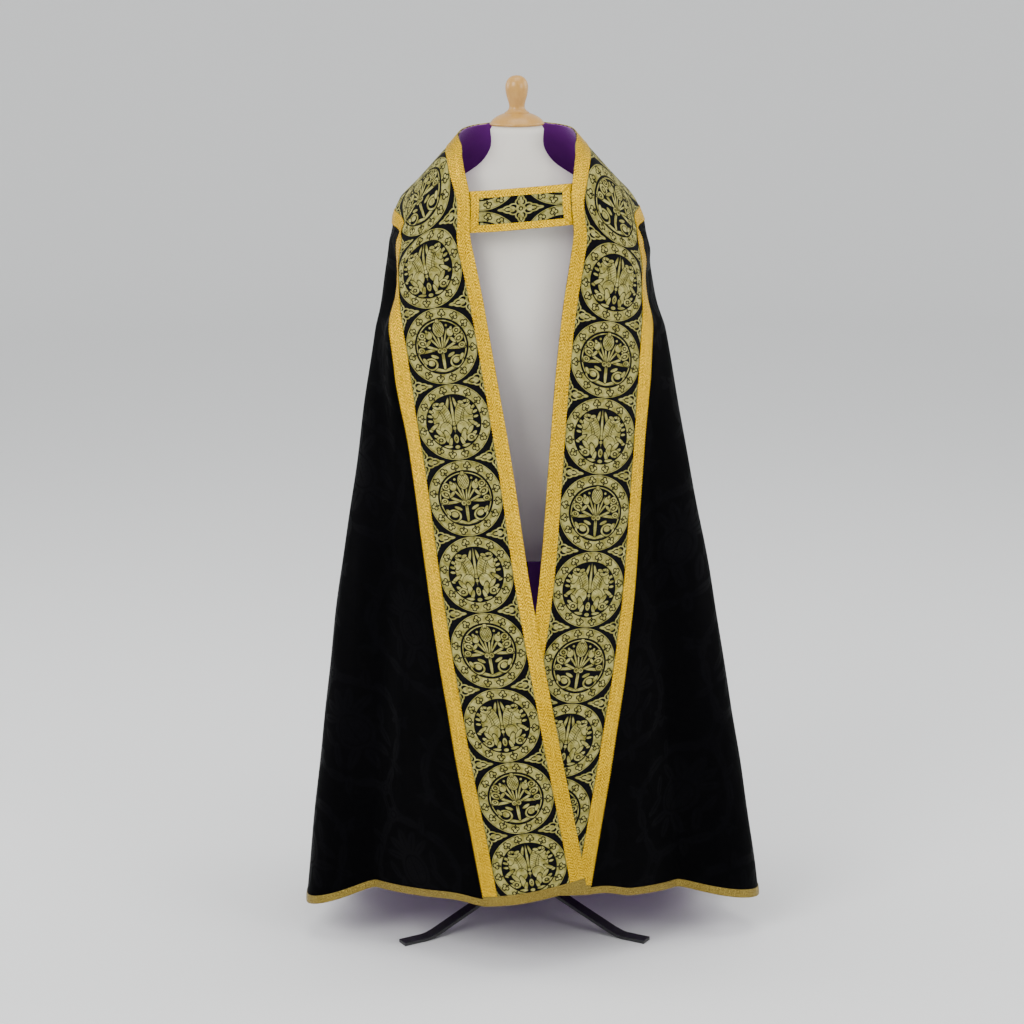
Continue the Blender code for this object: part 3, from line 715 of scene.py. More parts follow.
def lining_material():
    material, paint = new_material("violet lining")
    place = paint.node("ShaderNodeUVMap", uv_map="lay").outputs[0]
    weave = use_group(paint, WEAVE, Place=place, Spacing=0.0009)
    patches = paint.noise(place, 14.0, 3.0)
    paint.surface(paint.mix(patches, (0.150, 0.003, 0.240), (0.240, 0.008, 0.380)),
                  paint.between(weave["Slubs"], 0.46, 0.62),
                  paint.bump(weave["Threads"], 0.3, 0.0004),
                  Sheen_Weight=0.25, Sheen_Roughness=0.4)
    return material


DAMASK, LINING = damask_material(), lining_material()
SPREAD_START = 0.30


def sector_lay(places, offset):
    """Lays a panel out as the sector it is cut from, so that its figure keeps its size."""
    middle = np.linalg.norm(np.diff(places, axis=0), axis=-1).mean(axis=1)
    reach = SPREAD_START + np.concatenate(([0.0], np.cumsum(middle)))
    turn = offset + way_along(places[-1]) / reach[-1]
    return reach[:, None, None] * np.stack((np.sin(turn), -np.cos(turn)), axis=-1)[None]


def add_body():
    panels = {}
    for side in ("left", "right"):
        places, normals = side_panel(side, SIDE_COLUMNS)
        lay = sector_lay(places, 0.25)
        if side == "left":
            lay[..., 0] *= -1.0
        panels[side] = (places, normals, lay)
    places, normals = back_panel(BACK_COLUMNS)
    panels["back"] = (places, normals, sector_lay(places, -0.5))
    for label, (places, normals, lay) in panels.items():
        name = "body_" + label
        piece = woven_wall(name + "_cloth", places, normals, np.zeros(places.shape[:2]),
                           np.full(places.shape[:2], -WALL), lay, label == "left", (DAMASK, LINING))
        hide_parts(name)
        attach(piece, "root")
    return panels


BODY = add_body()

# Orphreys: the broad bands of brocade down both fronts and behind the neck, black silk figured in
# pale gold with touching roundels, by turns a fruiting tree and a pair of beasts, back to back.
ROUNDEL_PITCH, ROUNDEL_WIDTH, ROUNDEL_GAUGE = 13.9, 14.3, 13.75
RING_OUTER, RING_INNER, RING_BUDS = 6.86, 5.12, 16

# middle, radii and turn of a stroke, then what is cut out of it: a share of its size that shows
# the ground, and a smaller share that is gold again
TREE = (
    ((0.0, 0.0), (4.72, 4.72), 0.0, 0.965, 0.0),
    ((0.0, -2.6), (0.26, 1.9), 0.0),
    ((1.05, -4.25), (1.35, 0.24), 0.30),
    ((2.45, -3.05), (1.30, 1.12), 0.25, 0.76, 0.0),
    ((2.35, -2.85), (0.62, 0.50), 0.35),
    ((3.45, -2.35), (0.30, 0.62), -0.55),
    ((1.55, -1.75), (0.70, 0.26), 0.45),
    ((2.55, -0.62), (1.90, 0.24), -0.10),
    ((3.85, -0.35), (0.62, 0.50), 0.2, 0.55, 0.25),
    ((1.95, -0.05), (1.55, 0.20), 0.42),
    ((3.45, 0.90), (0.95, 0.62), 0.50, 0.60, 0.32),
    ((2.30, 0.85), (0.26, 0.72), 0.75),
    ((1.30, 0.85), (0.15, 1.75), -0.68),
    ((0.78, 1.05), (0.14, 1.75), -0.36),
    ((0.30, 1.05), (0.12, 1.60), -0.12),
    ((2.05, 2.25), (0.62, 0.74), -0.35),
    ((2.32, 2.95), (0.20, 0.30), -0.5),
    ((3.30, 2.35), (0.68, 0.60), 0.3, 0.62, 0.3),
    ((1.55, 3.55), (0.20, 0.20), 0.0),
    ((2.90, 1.60), (0.18, 0.18), 0.0),
    ((4.20, 1.75), (0.18, 0.18), 0.0),
    ((0.0, 3.10), (1.02, 1.42), 0.0),
    ((0.0, 4.55), (0.32, 0.42), 0.0),
    ((0.42, -0.85), (0.42, 0.42), 0.0, 0.5, 0.2),
)
BEASTS = (
    ((0.0, 1.4), (0.20, 2.9), 0.0),
    ((0.0, -0.3), (0.34, 0.34), 0.0),
    ((0.0, -1.1), (0.26, 0.30), 0.0),
    ((0.80, 3.10), (0.24, 1.30), 0.25),
    ((1.35, 1.25), (0.95, 2.30), -0.20),
    ((2.05, 0.65), (0.62, 2.05), -0.32),
    ((2.75, 0.55), (0.88, 1.75), -0.12),
    ((3.10, 2.05), (0.62, 1.05), 0.30),
    ((2.55, 3.15), (0.92, 0.62), 0.35, 0.36, 0.0),
    ((1.75, 3.45), (0.48, 0.26), -0.30),
    ((3.25, 3.75), (0.24, 0.52), -0.45),
    ((3.95, 2.35), (0.46, 0.24), 0.55),
    ((4.15, 1.45), (0.46, 0.22), 0.35),
    ((4.20, 0.55), (0.44, 0.20), 0.15),
    ((3.70, -0.60), (1.00, 0.30), -0.62),
    ((4.35, -1.20), (0.34, 0.20), 0.4),
    ((1.55, -1.15), (1.05, 1.25), 0.30),
    ((1.55, -2.55), (0.50, 1.15), -0.22),
    ((1.10, -3.60), (0.30, 0.80), 0.30),
    ((1.65, -4.35), (0.72, 0.24), 0.10),
    ((2.75, -1.75), (0.34, 0.95), -0.70),
    ((3.45, -2.35), (0.52, 0.26), 0.55),
    ((2.80, -3.05), (0.82, 0.68), 0.2, 0.55, 0.25),
    ((3.65, -3.25), (0.28, 0.50), -0.75),
    ((0.0, -3.05), (0.40, 0.75), 0.0, 0.5, 0.2),
    ((0.0, -4.55), (0.42, 0.30), 0.0),
)


def draw_brocade(paint, given):
    """The brocade's repeat in centimetres, mirrored about each roundel's middle."""
    x, y = paint.parts(given["Place"])
    across = paint.math("DIVIDE", x, 0.01 * ROUNDEL_WIDTH)
    along = paint.math("DIVIDE", y, 0.01 * ROUNDEL_PITCH)
    count = paint.math("ADD", paint.math("FLOOR", across), paint.math("FLOOR", along))
    is_beasts = paint.math("MODULO", paint.math("ABSOLUTE", count), 2.0)
    cu = paint.math("MULTIPLY_ADD", paint.math("FRACT", across), ROUNDEL_GAUGE, -ROUNDEL_GAUGE / 2)
    cv = paint.math("MULTIPLY_ADD", paint.math("FRACT", along), ROUNDEL_PITCH, -ROUNDEL_PITCH / 2)
    au = paint.math("ABSOLUTE", cu)
    half = paint.vector(au, cv)
    whole = paint.oval(half, (0.0, 0.0), (1.0, 1.0))

    def drawn(strokes):
        """Each stroke clears a thin outline round itself in what lies under it."""
        total = None
        for centre, radii, turn, *cuts in strokes:
            reach, small = paint.oval(half, centre, radii, turn), min(radii)
            body = paint.within(reach, 1.0, 12.0 * small)
            if cuts:
                body = paint.without(body, paint.within(reach, cuts[0], 12.0 * small))
                body = paint.joined(body, paint.within(reach, cuts[1], 12.0 * small)) if cuts[1] else body
            if total is None:
                total = body
            else:
                outline = paint.within(reach, 1.0 + 0.11 / small, 12.0 * small)
                total = paint.joined(paint.without(total, outline), body)
        return total

    tree = drawn(TREE)
    lattice = paint.math("MINIMUM", *(paint.math("ABSOLUTE", paint.math("SINE", paint.math(
        "MULTIPLY_ADD", cv, 5.2, paint.math("MULTIPLY", au, lean)))) for lean in (7.4, -7.4)))
    fruit = paint.filled(half, (0.0, 3.10), (0.92, 1.30))
    tree = paint.without(tree, paint.math("MINIMUM", fruit, paint.within(lattice, 0.30, 4.0)))
    beasts = drawn(BEASTS)
    barbs = paint.math("ABSOLUTE", paint.math("SINE", paint.math(
        "MULTIPLY_ADD", cv, 6.5, paint.math("MULTIPLY", au, 5.0))))
    wing = paint.filled(half, (1.40, 1.35), (0.85, 1.95), -0.20)
    beasts = paint.without(beasts, paint.math("MINIMUM", wing, paint.within(barbs, 0.26, 4.0)))
    picked = paint.mix_value(is_beasts, paint.clamped(tree), paint.clamped(beasts))
    figure = paint.math("MINIMUM", picked, paint.within(whole, RING_INNER - 0.25, 9.0))

    middle, width = 0.5 * (RING_OUTER + RING_INNER), RING_OUTER - RING_INNER
    ring = paint.within(paint.apart(whole, middle), width / 2, 11.0)
    turn = paint.math("MULTIPLY", paint.math("ARCTAN2", cv, cu), RING_BUDS / (2 * math.pi))
    aside = paint.apart(paint.math("FRACT", turn), 0.5)
    bud = paint.vector(paint.math("MULTIPLY", aside, 2 * math.pi * middle / RING_BUDS),
                       paint.math("SUBTRACT", whole, middle))
    trefoil = paint.joined(
        paint.filled(bud, (0.0, 0.28), (0.34, 0.38)),
        paint.filled(bud, (0.36, -0.12), (0.34, 0.32)),
        paint.filled(bud, (0.0, -0.48), (0.13, 0.24)))
    ring = paint.without(ring, paint.outlined(trefoil, 0.19))
    ring = paint.without(ring, paint.within(paint.apart(whole, RING_OUTER - 0.17), 0.035, 11.0))
    figure = paint.joined(figure, ring)

    corner = paint.vector(paint.math("SUBTRACT", ROUNDEL_GAUGE / 2, au),
                          paint.math("SUBTRACT", ROUNDEL_PITCH / 2, paint.math("ABSOLUTE", cv)))
    aside_leaf = paint.joined(
        paint.filled(corner, (1.25, 0.46), (0.72, 0.50)),
        paint.filled(corner, (2.00, 0.0), (1.05, 0.62)),
        paint.filled(corner, (2.95, 0.0), (0.66, 0.20)))
    upright_leaf = paint.joined(
        paint.filled(corner, (0.44, 1.15), (0.48, 0.58)),
        paint.filled(corner, (0.0, 1.65), (0.56, 0.76)),
        paint.filled(corner, (0.0, 2.35), (0.20, 0.52)))
    leaves = paint.outlined(paint.joined(aside_leaf, upright_leaf), 0.22)
    hearts = paint.joined(
        paint.filled(corner, (1.45, 0.26), (0.46, 0.24), 0.25),
        paint.filled(corner, (2.15, 0.0), (0.55, 0.24)),
        paint.filled(corner, (0.25, 1.22), (0.24, 0.36), -0.25),
        paint.filled(corner, (0.0, 1.75), (0.22, 0.42)),
        paint.ringed(corner, (0.0, 0.0), (0.50, 0.50), 0.18),
        paint.filled(corner, (0.0, 0.0), (0.20, 0.20)))
    return {"Figure": paint.clamped(paint.joined(figure, leaves, hearts))}


BROCADE_FIGURE = shader_group("brocade figure", (("Place", "NodeSocketVector", None),), ("Figure",),
                              draw_brocade)


def brocade_material():
    material, paint = new_material("figured brocade")
    place = paint.node("ShaderNodeUVMap", uv_map="lay").outputs[0]
    figure = use_group(paint, BROCADE_FIGURE, Place=place)["Figure"]
    weave = use_group(paint, WEAVE, Place=place, Spacing=0.0009)
    x, y = paint.parts(place)
    ribs = paint.wave(y, 2 * math.pi / 0.0008)
    # Painted shimmer: patches of noise make the gold and the black lighter and darker in turn, standing in
    # for light shimmering on the silk.
    painted_shimmer = paint.clamped(paint.math("MULTIPLY_ADD", paint.noise(place, 90.0, 4.0), 3.0, -1.0))
    gold = paint.mix(painted_shimmer, (0.190, 0.168, 0.030), (0.480, 0.440, 0.145))
    black = paint.mix(painted_shimmer, (0.0006, 0.0006, 0.0013), (0.0014, 0.0014, 0.0025))
    worn = paint.clamped(paint.math("MULTIPLY_ADD", paint.noise(place, 700.0, 2.0), 1.4, 0.20))
    shown = paint.math("MULTIPLY", figure, worn)
    height = paint.math("MULTIPLY_ADD", ribs, 0.4, weave["Threads"])
    paint.surface(paint.mix(shown, black, gold),
                  paint.between(figure, 0.60, 0.44),
                  paint.bump(height, 0.25, 0.0005),
                  Specular_IOR_Level=0.06)
    return material


BROCADE = brocade_material()
BAND_CELLS = 34
TOP_ROUNDEL = {"left": 0.107, "right": 0.128, "back": 0.0}


def band_lay(label, way, across):
    """Across the band and down it, in metres, with the roundels' middles on the band's middle."""
    u = (across - BAND_WIDTH / 2) + 0.005 * ROUNDEL_WIDTH
    v = TOP_ROUNDEL[label] - way + 0.005 * ROUNDEL_PITCH
    return np.stack(np.broadcast_arrays(u, v), axis=-1)


def front_band(side):
    track, length = TRACKS[side]
    start, z0, end, z1 = np.moveaxis(track(DOWN_THE_BAND), -1, 0)
    across = np.linspace(0.0, 1.0, BAND_CELLS + 1)[None, :]
    places, normals = cloth_and_normals(start[:, None] + (end - start)[:, None] * across,
                                        z0[:, None] + (z1 - z0)[:, None] * across, side)
    return places, normals, band_lay(side, DOWN_THE_BAND[:, None] * length, across * BAND_WIDTH)


def neck_band(columns=120):
    part = np.linspace(0.0, 1.0, columns + 1)[:, None]
    turn = SHOULDER_SEAM + (360.0 - 2 * SHOULDER_SEAM) * part
    top = NECK_SIDE + (NECK_BACK - NECK_SIDE) * np.sin(math.pi * part)
    across = np.linspace(0.0, 1.0, BAND_CELLS + 1)[None, :]
    places, normals = cloth_and_normals(np.radians(turn) + 0.0 * across,
                                        top + (yoke_height(turn) - top) * across, "right")
    way = way_along(places[:, BAND_CELLS // 2])
    return places, normals, band_lay("back", (way - way[-1] / 2)[:, None], across * BAND_WIDTH)


def add_orphreys():
    bands = {"left": front_band("left"), "right": front_band("right"), "back": neck_band()}
    for label, (places, normals, lay) in bands.items():
        name = "orphrey_" + label
        piece = woven_wall(name + "_brocade", places, normals, np.zeros(places.shape[:2]),
                           np.full(places.shape[:2], -WALL), lay, label != "right", (BROCADE, LINING))
        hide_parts(name)
        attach(piece, "root")
    return bands


BANDS = add_orphreys()

# Gold braid: a woven strip of metal thread with a corded edge, sewn over both edges of every
# band, narrower round the hem and wider across the ends of the front bands.
BRAID_WALL, BRAID_GAP = 0.0010, 0.0003


def draw_braid(paint, given):
    """Plaited ends: slanting floats that change their slant from one stripe to the next."""
    x, y = paint.parts(given["Place"])
    stripe = paint.math("DIVIDE", x, given["Stripe"])
    side = paint.math("PINGPONG", stripe, 1.0)
    slant = paint.math("MULTIPLY", side, given["Stripe"])
    phase = paint.math("DIVIDE", paint.math("ADD", y, slant), given["Pitch"])
    floats = paint.math("MULTIPLY_ADD", paint.wave(phase, 2 * math.pi), 0.5, 0.5)
    fine = paint.wave(paint.math("SUBTRACT", y, slant), 2 * math.pi / 0.0007)
    fine = paint.math("MULTIPLY_ADD", fine, 0.5, 0.5)
    ridge = paint.apart(side, 0.5)
    gaps = paint.clamped(paint.within(ridge, 0.46, 16.0))
    return {"Floats": paint.math("MULTIPLY", floats, gaps), "Fine": fine, "Gaps": gaps}


BRAID_FIGURE = shader_group(
    "braid plait",
    (("Place", "NodeSocketVector", None), ("Stripe", "NodeSocketFloat", 0.007),
     ("Pitch", "NodeSocketFloat", 0.004)),
    ("Floats", "Fine", "Gaps"), draw_braid)


def braid_material(name, dark, bright, stripe, pitch):
    material, paint = new_material(name)
    place = paint.node("ShaderNodeUVMap", uv_map="lay").outputs[0]
    plait = use_group(paint, BRAID_FIGURE, Place=place, Stripe=stripe, Pitch=pitch)
    # Painted glints: a sharp noise brightens the gold's colour in small spots as painted highlights; the
    # same noise also smooths those spots and raises them in the bump.
    glints = paint.clamped(paint.math("MULTIPLY_ADD", paint.noise(place, 330.0, 2.0), 5.0, -2.0))
    tarnish = paint.noise(place, 45.0, 4.0)
    lit = paint.math("MULTIPLY_ADD", glints, 0.50, paint.math("MULTIPLY", plait["Floats"], 0.50))
    lit = paint.clamped(paint.math("MULTIPLY_ADD", tarnish, 0.5, paint.math("SUBTRACT", lit, 0.12)))
    height = paint.math("ADD", paint.math("MULTIPLY_ADD", plait["Fine"], 0.25, plait["Floats"]), glints)
    paint.surface(paint.mix(lit, dark, bright),
                  paint.between(glints, 0.46, 0.26),
                  paint.bump(height, 0.55, 0.0008), Metallic=paint.between(plait["Gaps"], 0.75, 0.98))
    return material


BRAID = braid_material("gold braid", (0.20, 0.085, 0.0001), (0.90, 0.560, 0.002), 0.0093, 0.0058)
HEM_GOLD = braid_material("hem braid", (0.105, 0.066, 0.010), (0.340, 0.250, 0.055), 0.0047, 0.0040)


def braid_strip(node, places, normals, material, flip, rows=(0.0, 0.0), columns=(0.0, 0.0), along=0):
    """Lays a braid on a cloth's points: a little domed, with a cord along each edge."""
    places = inset(places, rows, columns)
    crosswise = np.linalg.norm(np.diff(places, axis=1 - along), axis=-1)
    width = np.concatenate((np.zeros_like(np.take(crosswise, [0], axis=1 - along)),
                            np.cumsum(crosswise, axis=1 - along)), axis=1 - along)
    lengthwise = np.linalg.norm(np.diff(places, axis=along), axis=-1)
    length = np.concatenate((np.zeros_like(np.take(lengthwise, [0], axis=along)),
                             np.cumsum(lengthwise, axis=along)), axis=along)
    whole = np.take(width, [-1], axis=1 - along)
    share = width / whole
    cords = np.exp(-(((share - 0.06) / 0.05) ** 2)) + np.exp(-(((share - 0.94) / 0.05) ** 2))
    pucker = np.sin(2 * math.pi * length / 0.021 + 1.7 * np.sin(length / 0.047)) * np.sin(math.pi * share)
    crown = BRAID_GAP + BRAID_WALL * (0.80 + 0.35 * np.sin(math.pi * share) + 0.25 * cords + 0.30 * pucker)
    lay = np.stack((width, length), axis=-1)
    piece = woven_wall(node + "_gold", places, normals, crown, np.full(crown.shape, BRAID_GAP), lay, flip,
                       (material,))
    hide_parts(node)
    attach(piece, "root")
    return piece


def refined(grid, start, stop, cells, axis):
    """Points on a stretch of a grid, spread evenly between two shares of its way."""
    count = grid.shape[axis] - 1
    at = np.linspace(start, stop, cells + 1) * count
    low = np.clip(np.floor(at).astype(int), 0, count - 1)
    part = at - low
    shape = [1] * grid.ndim
    shape[axis] = -1
    part = part.reshape(shape)
    return np.take(grid, low, axis=axis) * (1 - part) + np.take(grid, low + 1, axis=axis) * part


def add_braids():
    inner, outer = BRAID_WIDTH / BAND_WIDTH, 1.0 - BRAID_WIDTH / BAND_WIDTH
    stretches = {"inner": (0.0, inner), "outer": (outer, 1.0)}
    edges = {label: [] for label in BANDS}
    for label, (places, normals, _) in BANDS.items():
        end = 1.0
        if label != "back":
            length = TRACKS[label][1]
            end = 1.0 - ORPHREY_HEM_BRAID / length
        for edge, (low, high) in stretches.items():
            strip = refined(refined(places, low, high, 14, 1), 0.0, end, 240, 0)
            facing = refined(refined(normals, low, high, 14, 1), 0.0, end, 240, 0)
            lifted = strip + facing * (BRAID_GAP + 0.5 * BRAID_WALL)
            edges[label] += [lifted[:, -1]] if edge == "inner" else [lifted[:, 0], lifted[:, -1]]
            braid_strip("braid_" + edge + "_" + label, strip, facing, BRAID, label != "right",
                        rows=(0.0, 0.0003 if label != "back" else 0.0),
                        columns=(0.0, 0.0006 if edge == "outer" else 0.0))
        if label != "back":
            strip = refined(places, end, 1.0, 12, 0)
            facing = refined(normals, end, 1.0, 12, 0)
            braid_strip("hem_braid_orphrey_" + label, strip, facing, HEM_GOLD, label != "right",
                        columns=(0.0, 0.0006), along=1)
    for label, (places, normals, _) in BODY.items():
        drop = float(way_along(places[:, places.shape[1] // 2])[-1])
        start = 1.0 - HEM_BRAID / drop
        strip, facing = refined(places, start, 1.0, 8, 0), refined(normals, start, 1.0, 8, 0)
        braid_strip("hem_braid_" + label, strip, facing, HEM_GOLD, label == "left", along=1)
    return edges


BRAID_EDGES = add_braids()

# Picots: the tiny loops of gold thread along the edges of the bands' braid, part of its weave, set
# along each edge at an even pitch.
PICOT_PITCH, PICOT_RADIUS = 0.0049, 0.0011


def thread_material():
    material, paint = new_material("gold thread")
    place = paint.node("ShaderNodeTexCoord").outputs["Object"]
    twist, tarnish = paint.noise(place, 900.0, 2.0), paint.noise(place, 40.0, 3.0)
    paint.surface(paint.mix(tarnish, (0.20, 0.085, 0.0001), (0.90, 0.560, 0.002)),
                  paint.between(twist, 0.30, 0.50),
                  paint.bump(twist, 0.4, 0.0003),
                  Metallic=0.9)
    return material


def picot_tree():
    """Sets a knot of thread at every step along the lines it is given."""
    tree = bpy.data.node_groups.new("picots", "GeometryNodeTree")
    for name, way, kind in (("Lines", "INPUT", "Geometry"), ("Pitch", "INPUT", "Float"),
                            ("Radius", "INPUT", "Float"), ("Thread", "INPUT", "Material"),
                            ("Picots", "OUTPUT", "Geometry")):
        tree.interface.new_socket(name, in_out=way, socket_type="NodeSocket" + kind)
    given, done = tree.nodes.new("NodeGroupInput"), tree.nodes.new("NodeGroupOutput")
    path, spaced, knot, placed, real, gold = (tree.nodes.new("GeometryNode" + kind) for kind in (
        "MeshToCurve", "ResampleCurve", "MeshIcoSphere", "InstanceOnPoints", "RealizeInstances",
        "SetMaterial"))
    spaced.mode = "LENGTH"
    for start, end in ((given.outputs["Lines"], path.inputs["Mesh"]),
                       (path.outputs["Curve"], spaced.inputs["Curve"]),
                       (given.outputs["Pitch"], spaced.inputs["Length"]),
                       (spaced.outputs["Curve"], placed.inputs["Points"]),
                       (given.outputs["Radius"], knot.inputs["Radius"]),
                       (knot.outputs["Mesh"], placed.inputs["Instance"]),
                       (placed.outputs["Instances"], real.inputs["Geometry"]),
                       (real.outputs["Geometry"], gold.inputs["Geometry"]),
                       (given.outputs["Thread"], gold.inputs["Material"]),
                       (gold.outputs["Geometry"], done.inputs["Picots"])):
        tree.links.new(start, end)
    return tree


def add_picots():
    tree, thread = picot_tree(), thread_material()
    sockets = {item.name: item.identifier for item in tree.interface.items_tree}
    for label, lines in BRAID_EDGES.items():
        points, pairs = [], []
        for line in lines:
            pairs += [(len(points) + k, len(points) + k + 1) for k in range(len(line) - 1)]
            points += line.tolist()
        data = bpy.data.meshes.new("picot_lines_" + label)
        data.from_pydata(points, pairs, [])
        maker = bpy.data.objects.new("picot_lines_" + label, data)
        bpy.context.scene.collection.objects.link(maker)
        modifier = maker.modifiers.new("picots", "NODES")
        modifier.node_group = tree
        modifier[sockets["Pitch"]], modifier[sockets["Radius"]] = PICOT_PITCH, PICOT_RADIUS
        modifier[sockets["Thread"]] = thread
        made = bpy.data.meshes.new_from_object(maker.evaluated_get(bpy.context.evaluated_depsgraph_get()))
        bpy.data.objects.remove(maker)
        made.materials.clear()
        made.shade_smooth()
        piece = add_piece("picots_" + label, made, thread)
        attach(piece, "root")


add_picots()

# Neck lining: violet cloth felled to the inside of the neck band, where it shows behind the neck.
LINING_WALL = 0.0010


def add_lining():
    places, normals, lay = BANDS["back"]
    low = np.full(places.shape[:2], -WALL - 0.0003)
    piece = woven_wall("lining_cloth", places, normals, low, low - LINING_WALL, lay, True, (LINING,))
    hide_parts("lining")
    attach(piece, "root")


add_lining()

# Morse: a stiffened panel of the same brocade, cut with a filling leaf in its middle, framed in
# gold braid and hooked behind both inner edges to hold the fronts together.
MORSE_LEFT, MORSE_RIGHT = (1.360, 1.433), (1.373, 1.445)
MORSE_TUCK, MORSE_EDGE = math.radians(5.0), math.radians(0.25)
MORSE_BRAID, MORSE_DEPTH, MORSE_WALL = 0.014, 0.0030, 0.0030


def morse_grid(rows, columns, past):
    """Points between the two inner edges, reaching past each by an angle."""
    down = np.linspace(0.0, 1.0, rows + 1)
    ends = {}
    for side, (low, high) in (("left", MORSE_LEFT), ("right", MORSE_RIGHT)):
        z = high + (low - high) * down
        column = 0 if side == "left" else 1
        ends[side] = (side_sign(side) * np.radians(edge_at(z)[:, column]), z)
    (a0, z0), (a1, z1) = ends["left"], ends["right"]
    across = np.linspace(0.0, 1.0, columns + 1)[None, :]
    turn = (a0 - past)[:, None] + (a1 - a0 + 2 * past)[:, None] * across
    share = (turn - a0[:, None]) / (a1 - a0)[:, None]
    return cloth_and_normals(turn, z0[:, None] + (z1 - z0)[:, None] * share, "right")


def add_morse():
    places, normals = morse_grid(24, 72, MORSE_TUCK)
    middle = places[places.shape[0] // 2, places.shape[1] // 2]
    across = np.cumsum(np.linalg.norm(np.diff(places, axis=1, prepend=places[:, :1]), axis=-1), axis=1)
    down = np.cumsum(np.linalg.norm(np.diff(places, axis=0, prepend=places[:1]), axis=-1), axis=0)
    u = across - across[:, -1:] / 2
    v = -(down - down[-1:] / 2)
    lay = np.stack((u, v), axis=-1)
    low = np.full(places.shape[:2], -MORSE_DEPTH)
    piece = woven_wall("morse_brocade", places, normals, low, low - MORSE_WALL, lay, False, (BROCADE,))
    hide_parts("morse")
    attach(piece, "root")
    wide, tall = float(across[:, -1].mean()), float(down[-1].mean())

    rows, columns = 40, 96
    places, normals = morse_grid(rows, columns, -MORSE_EDGE)
    inner_rows = round(rows * MORSE_BRAID / tall)
    shown = float(way_along(places[0])[-1])
    inner_columns = round(columns * MORSE_BRAID / shown)
    holes = {(i, j) for i in range(inner_rows, rows - inner_rows)
             for j in range(inner_columns, columns - inner_columns)}
    i = np.arange(rows + 1)[:, None] * tall / rows
    j = np.arange(columns + 1)[None, :] * shown / columns
    away_i, away_j = np.minimum(i, tall - i), np.minimum(j, shown - j)
    upright = away_j < away_i
    away = np.where(upright, away_j, away_i)
    lay = np.stack((away, np.where(upright, i + 0.0 * j, j + 0.0 * i)), axis=-1)
    share = np.clip(away / MORSE_BRAID, 0.0, 1.0)
    crown = -MORSE_DEPTH + BRAID_GAP + BRAID_WALL * (0.7 + 0.35 * np.sin(math.pi * share))
    low = np.full(crown.shape, -MORSE_DEPTH + BRAID_GAP)
    piece = woven_wall("morse_braid_gold", places, normals, crown, low, lay, False, (BRAID,), holes)
    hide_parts("morse_braid")
    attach(piece, "root")


add_morse()

# The form's body and neck: firm padding under cream jersey, smooth and whole, with a flat top
# that carries the wooden cap and a closed underside on the pole.
TORSO = (
    (1.5400, 0.0490, 0.0480, 0.0480),
    (1.4950, 0.0510, 0.0500, 0.0500),
    (1.4700, 0.0700, 0.0540, 0.0560),
    (1.4500, 0.1000, 0.0600, 0.0620),
    (1.4250, 0.1420, 0.0680, 0.0700),
    (1.4080, 0.1780, 0.0740, 0.0760),
    (1.3900, 0.2142, 0.0780, 0.0800),
    (1.3600, 0.2140, 0.0880, 0.0900),
    (1.3000, 0.1920, 0.1030, 0.1030),
    (1.2200, 0.1780, 0.1120, 0.1080),
    (1.1200, 0.1640, 0.1060, 0.0980),
    (1.0200, 0.1560, 0.0990, 0.0920),
    (0.9200, 0.1660, 0.1040, 0.1080),
    (0.8300, 0.1740, 0.1060, 0.1160),
    (0.7600, 0.1680, 0.1000, 0.1080),
    (0.7400, 0.1540, 0.0880, 0.0960),
)


def jersey_material():
    material, paint = new_material("cream jersey")
    place = paint.node("ShaderNodeTexCoord").outputs["Object"]
    made = paint.node("ShaderNodeSeparateXYZ")
    paint.put(made.inputs[0], place)
    x, y, z = made.outputs
    around = paint.math("ARCTAN2", y, x)
    wales = paint.wave(around, 420.0)
    courses = paint.wave(z, 2 * math.pi / 0.0016)
    loops = paint.math("MULTIPLY_ADD", paint.math("MULTIPLY", wales, courses), 0.5, 0.5)
    soil = paint.noise(place, 9.0, 5.0, 0.6)
    paint.surface(paint.mix(soil, (0.76, 0.71, 0.62), (0.87, 0.84, 0.77)),
                  paint.between(loops, 0.78, 0.92),
                  paint.bump(loops, 0.35, 0.0005),
                  Sheen_Weight=0.15)
    return material


def add_torso():
    """Smooth loft through the sections, with rounded rims above and below."""
    table = sorted(TORSO)
    at = curve(table)
    low, high = table[0][0], table[-1][0]
    heights = np.concatenate(([low], np.linspace(low, high, 110)[1:-1], [high]))
    segments = 96
    rim = 0.004
    mesh = bmesh.new()
    loops = []
    rows = [(z, 1.0) for z in heights]
    for z, scale in rows:
        width, front, back = at(z)
        inward = max(rim - (high - z), rim - (z - low), 0.0)
        loop = []
        for k in range(segments):
            azimuth = 2 * math.pi * k / segments
            depth = front if math.cos(azimuth) > 0 else back
            shrink = 1.0 - inward / width
            loop.append(mesh.verts.new((FORM_X + shrink * width * math.sin(azimuth),
                                        FORM_Y - shrink * depth * math.cos(azimuth), z)))
        loops.append(loop)
    for below, above in zip(loops, loops[1:]):
        for k in range(segments):
            n = (k + 1) % segments
            mesh.faces.new((below[k], below[n], above[n], above[k]))
    for loop in (loops[0], loops[-1]):
        middle = mesh.verts.new((FORM_X, FORM_Y, loop[0].co.z))
        for k in range(segments):
            mesh.faces.new((loop[k], loop[(k + 1) % segments], middle))
    bmesh.ops.recalc_face_normals(mesh, faces=mesh.faces[:])
    data = bpy.data.meshes.new("torso_jersey")
    mesh.to_mesh(data)
    mesh.free()
    data.shade_smooth()
    data.set_sharp_from_angle(angle=math.radians(50.0))
    piece = add_piece("torso_jersey", data, jersey_material())
    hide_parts("torso")
    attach(piece, "root")


add_torso()

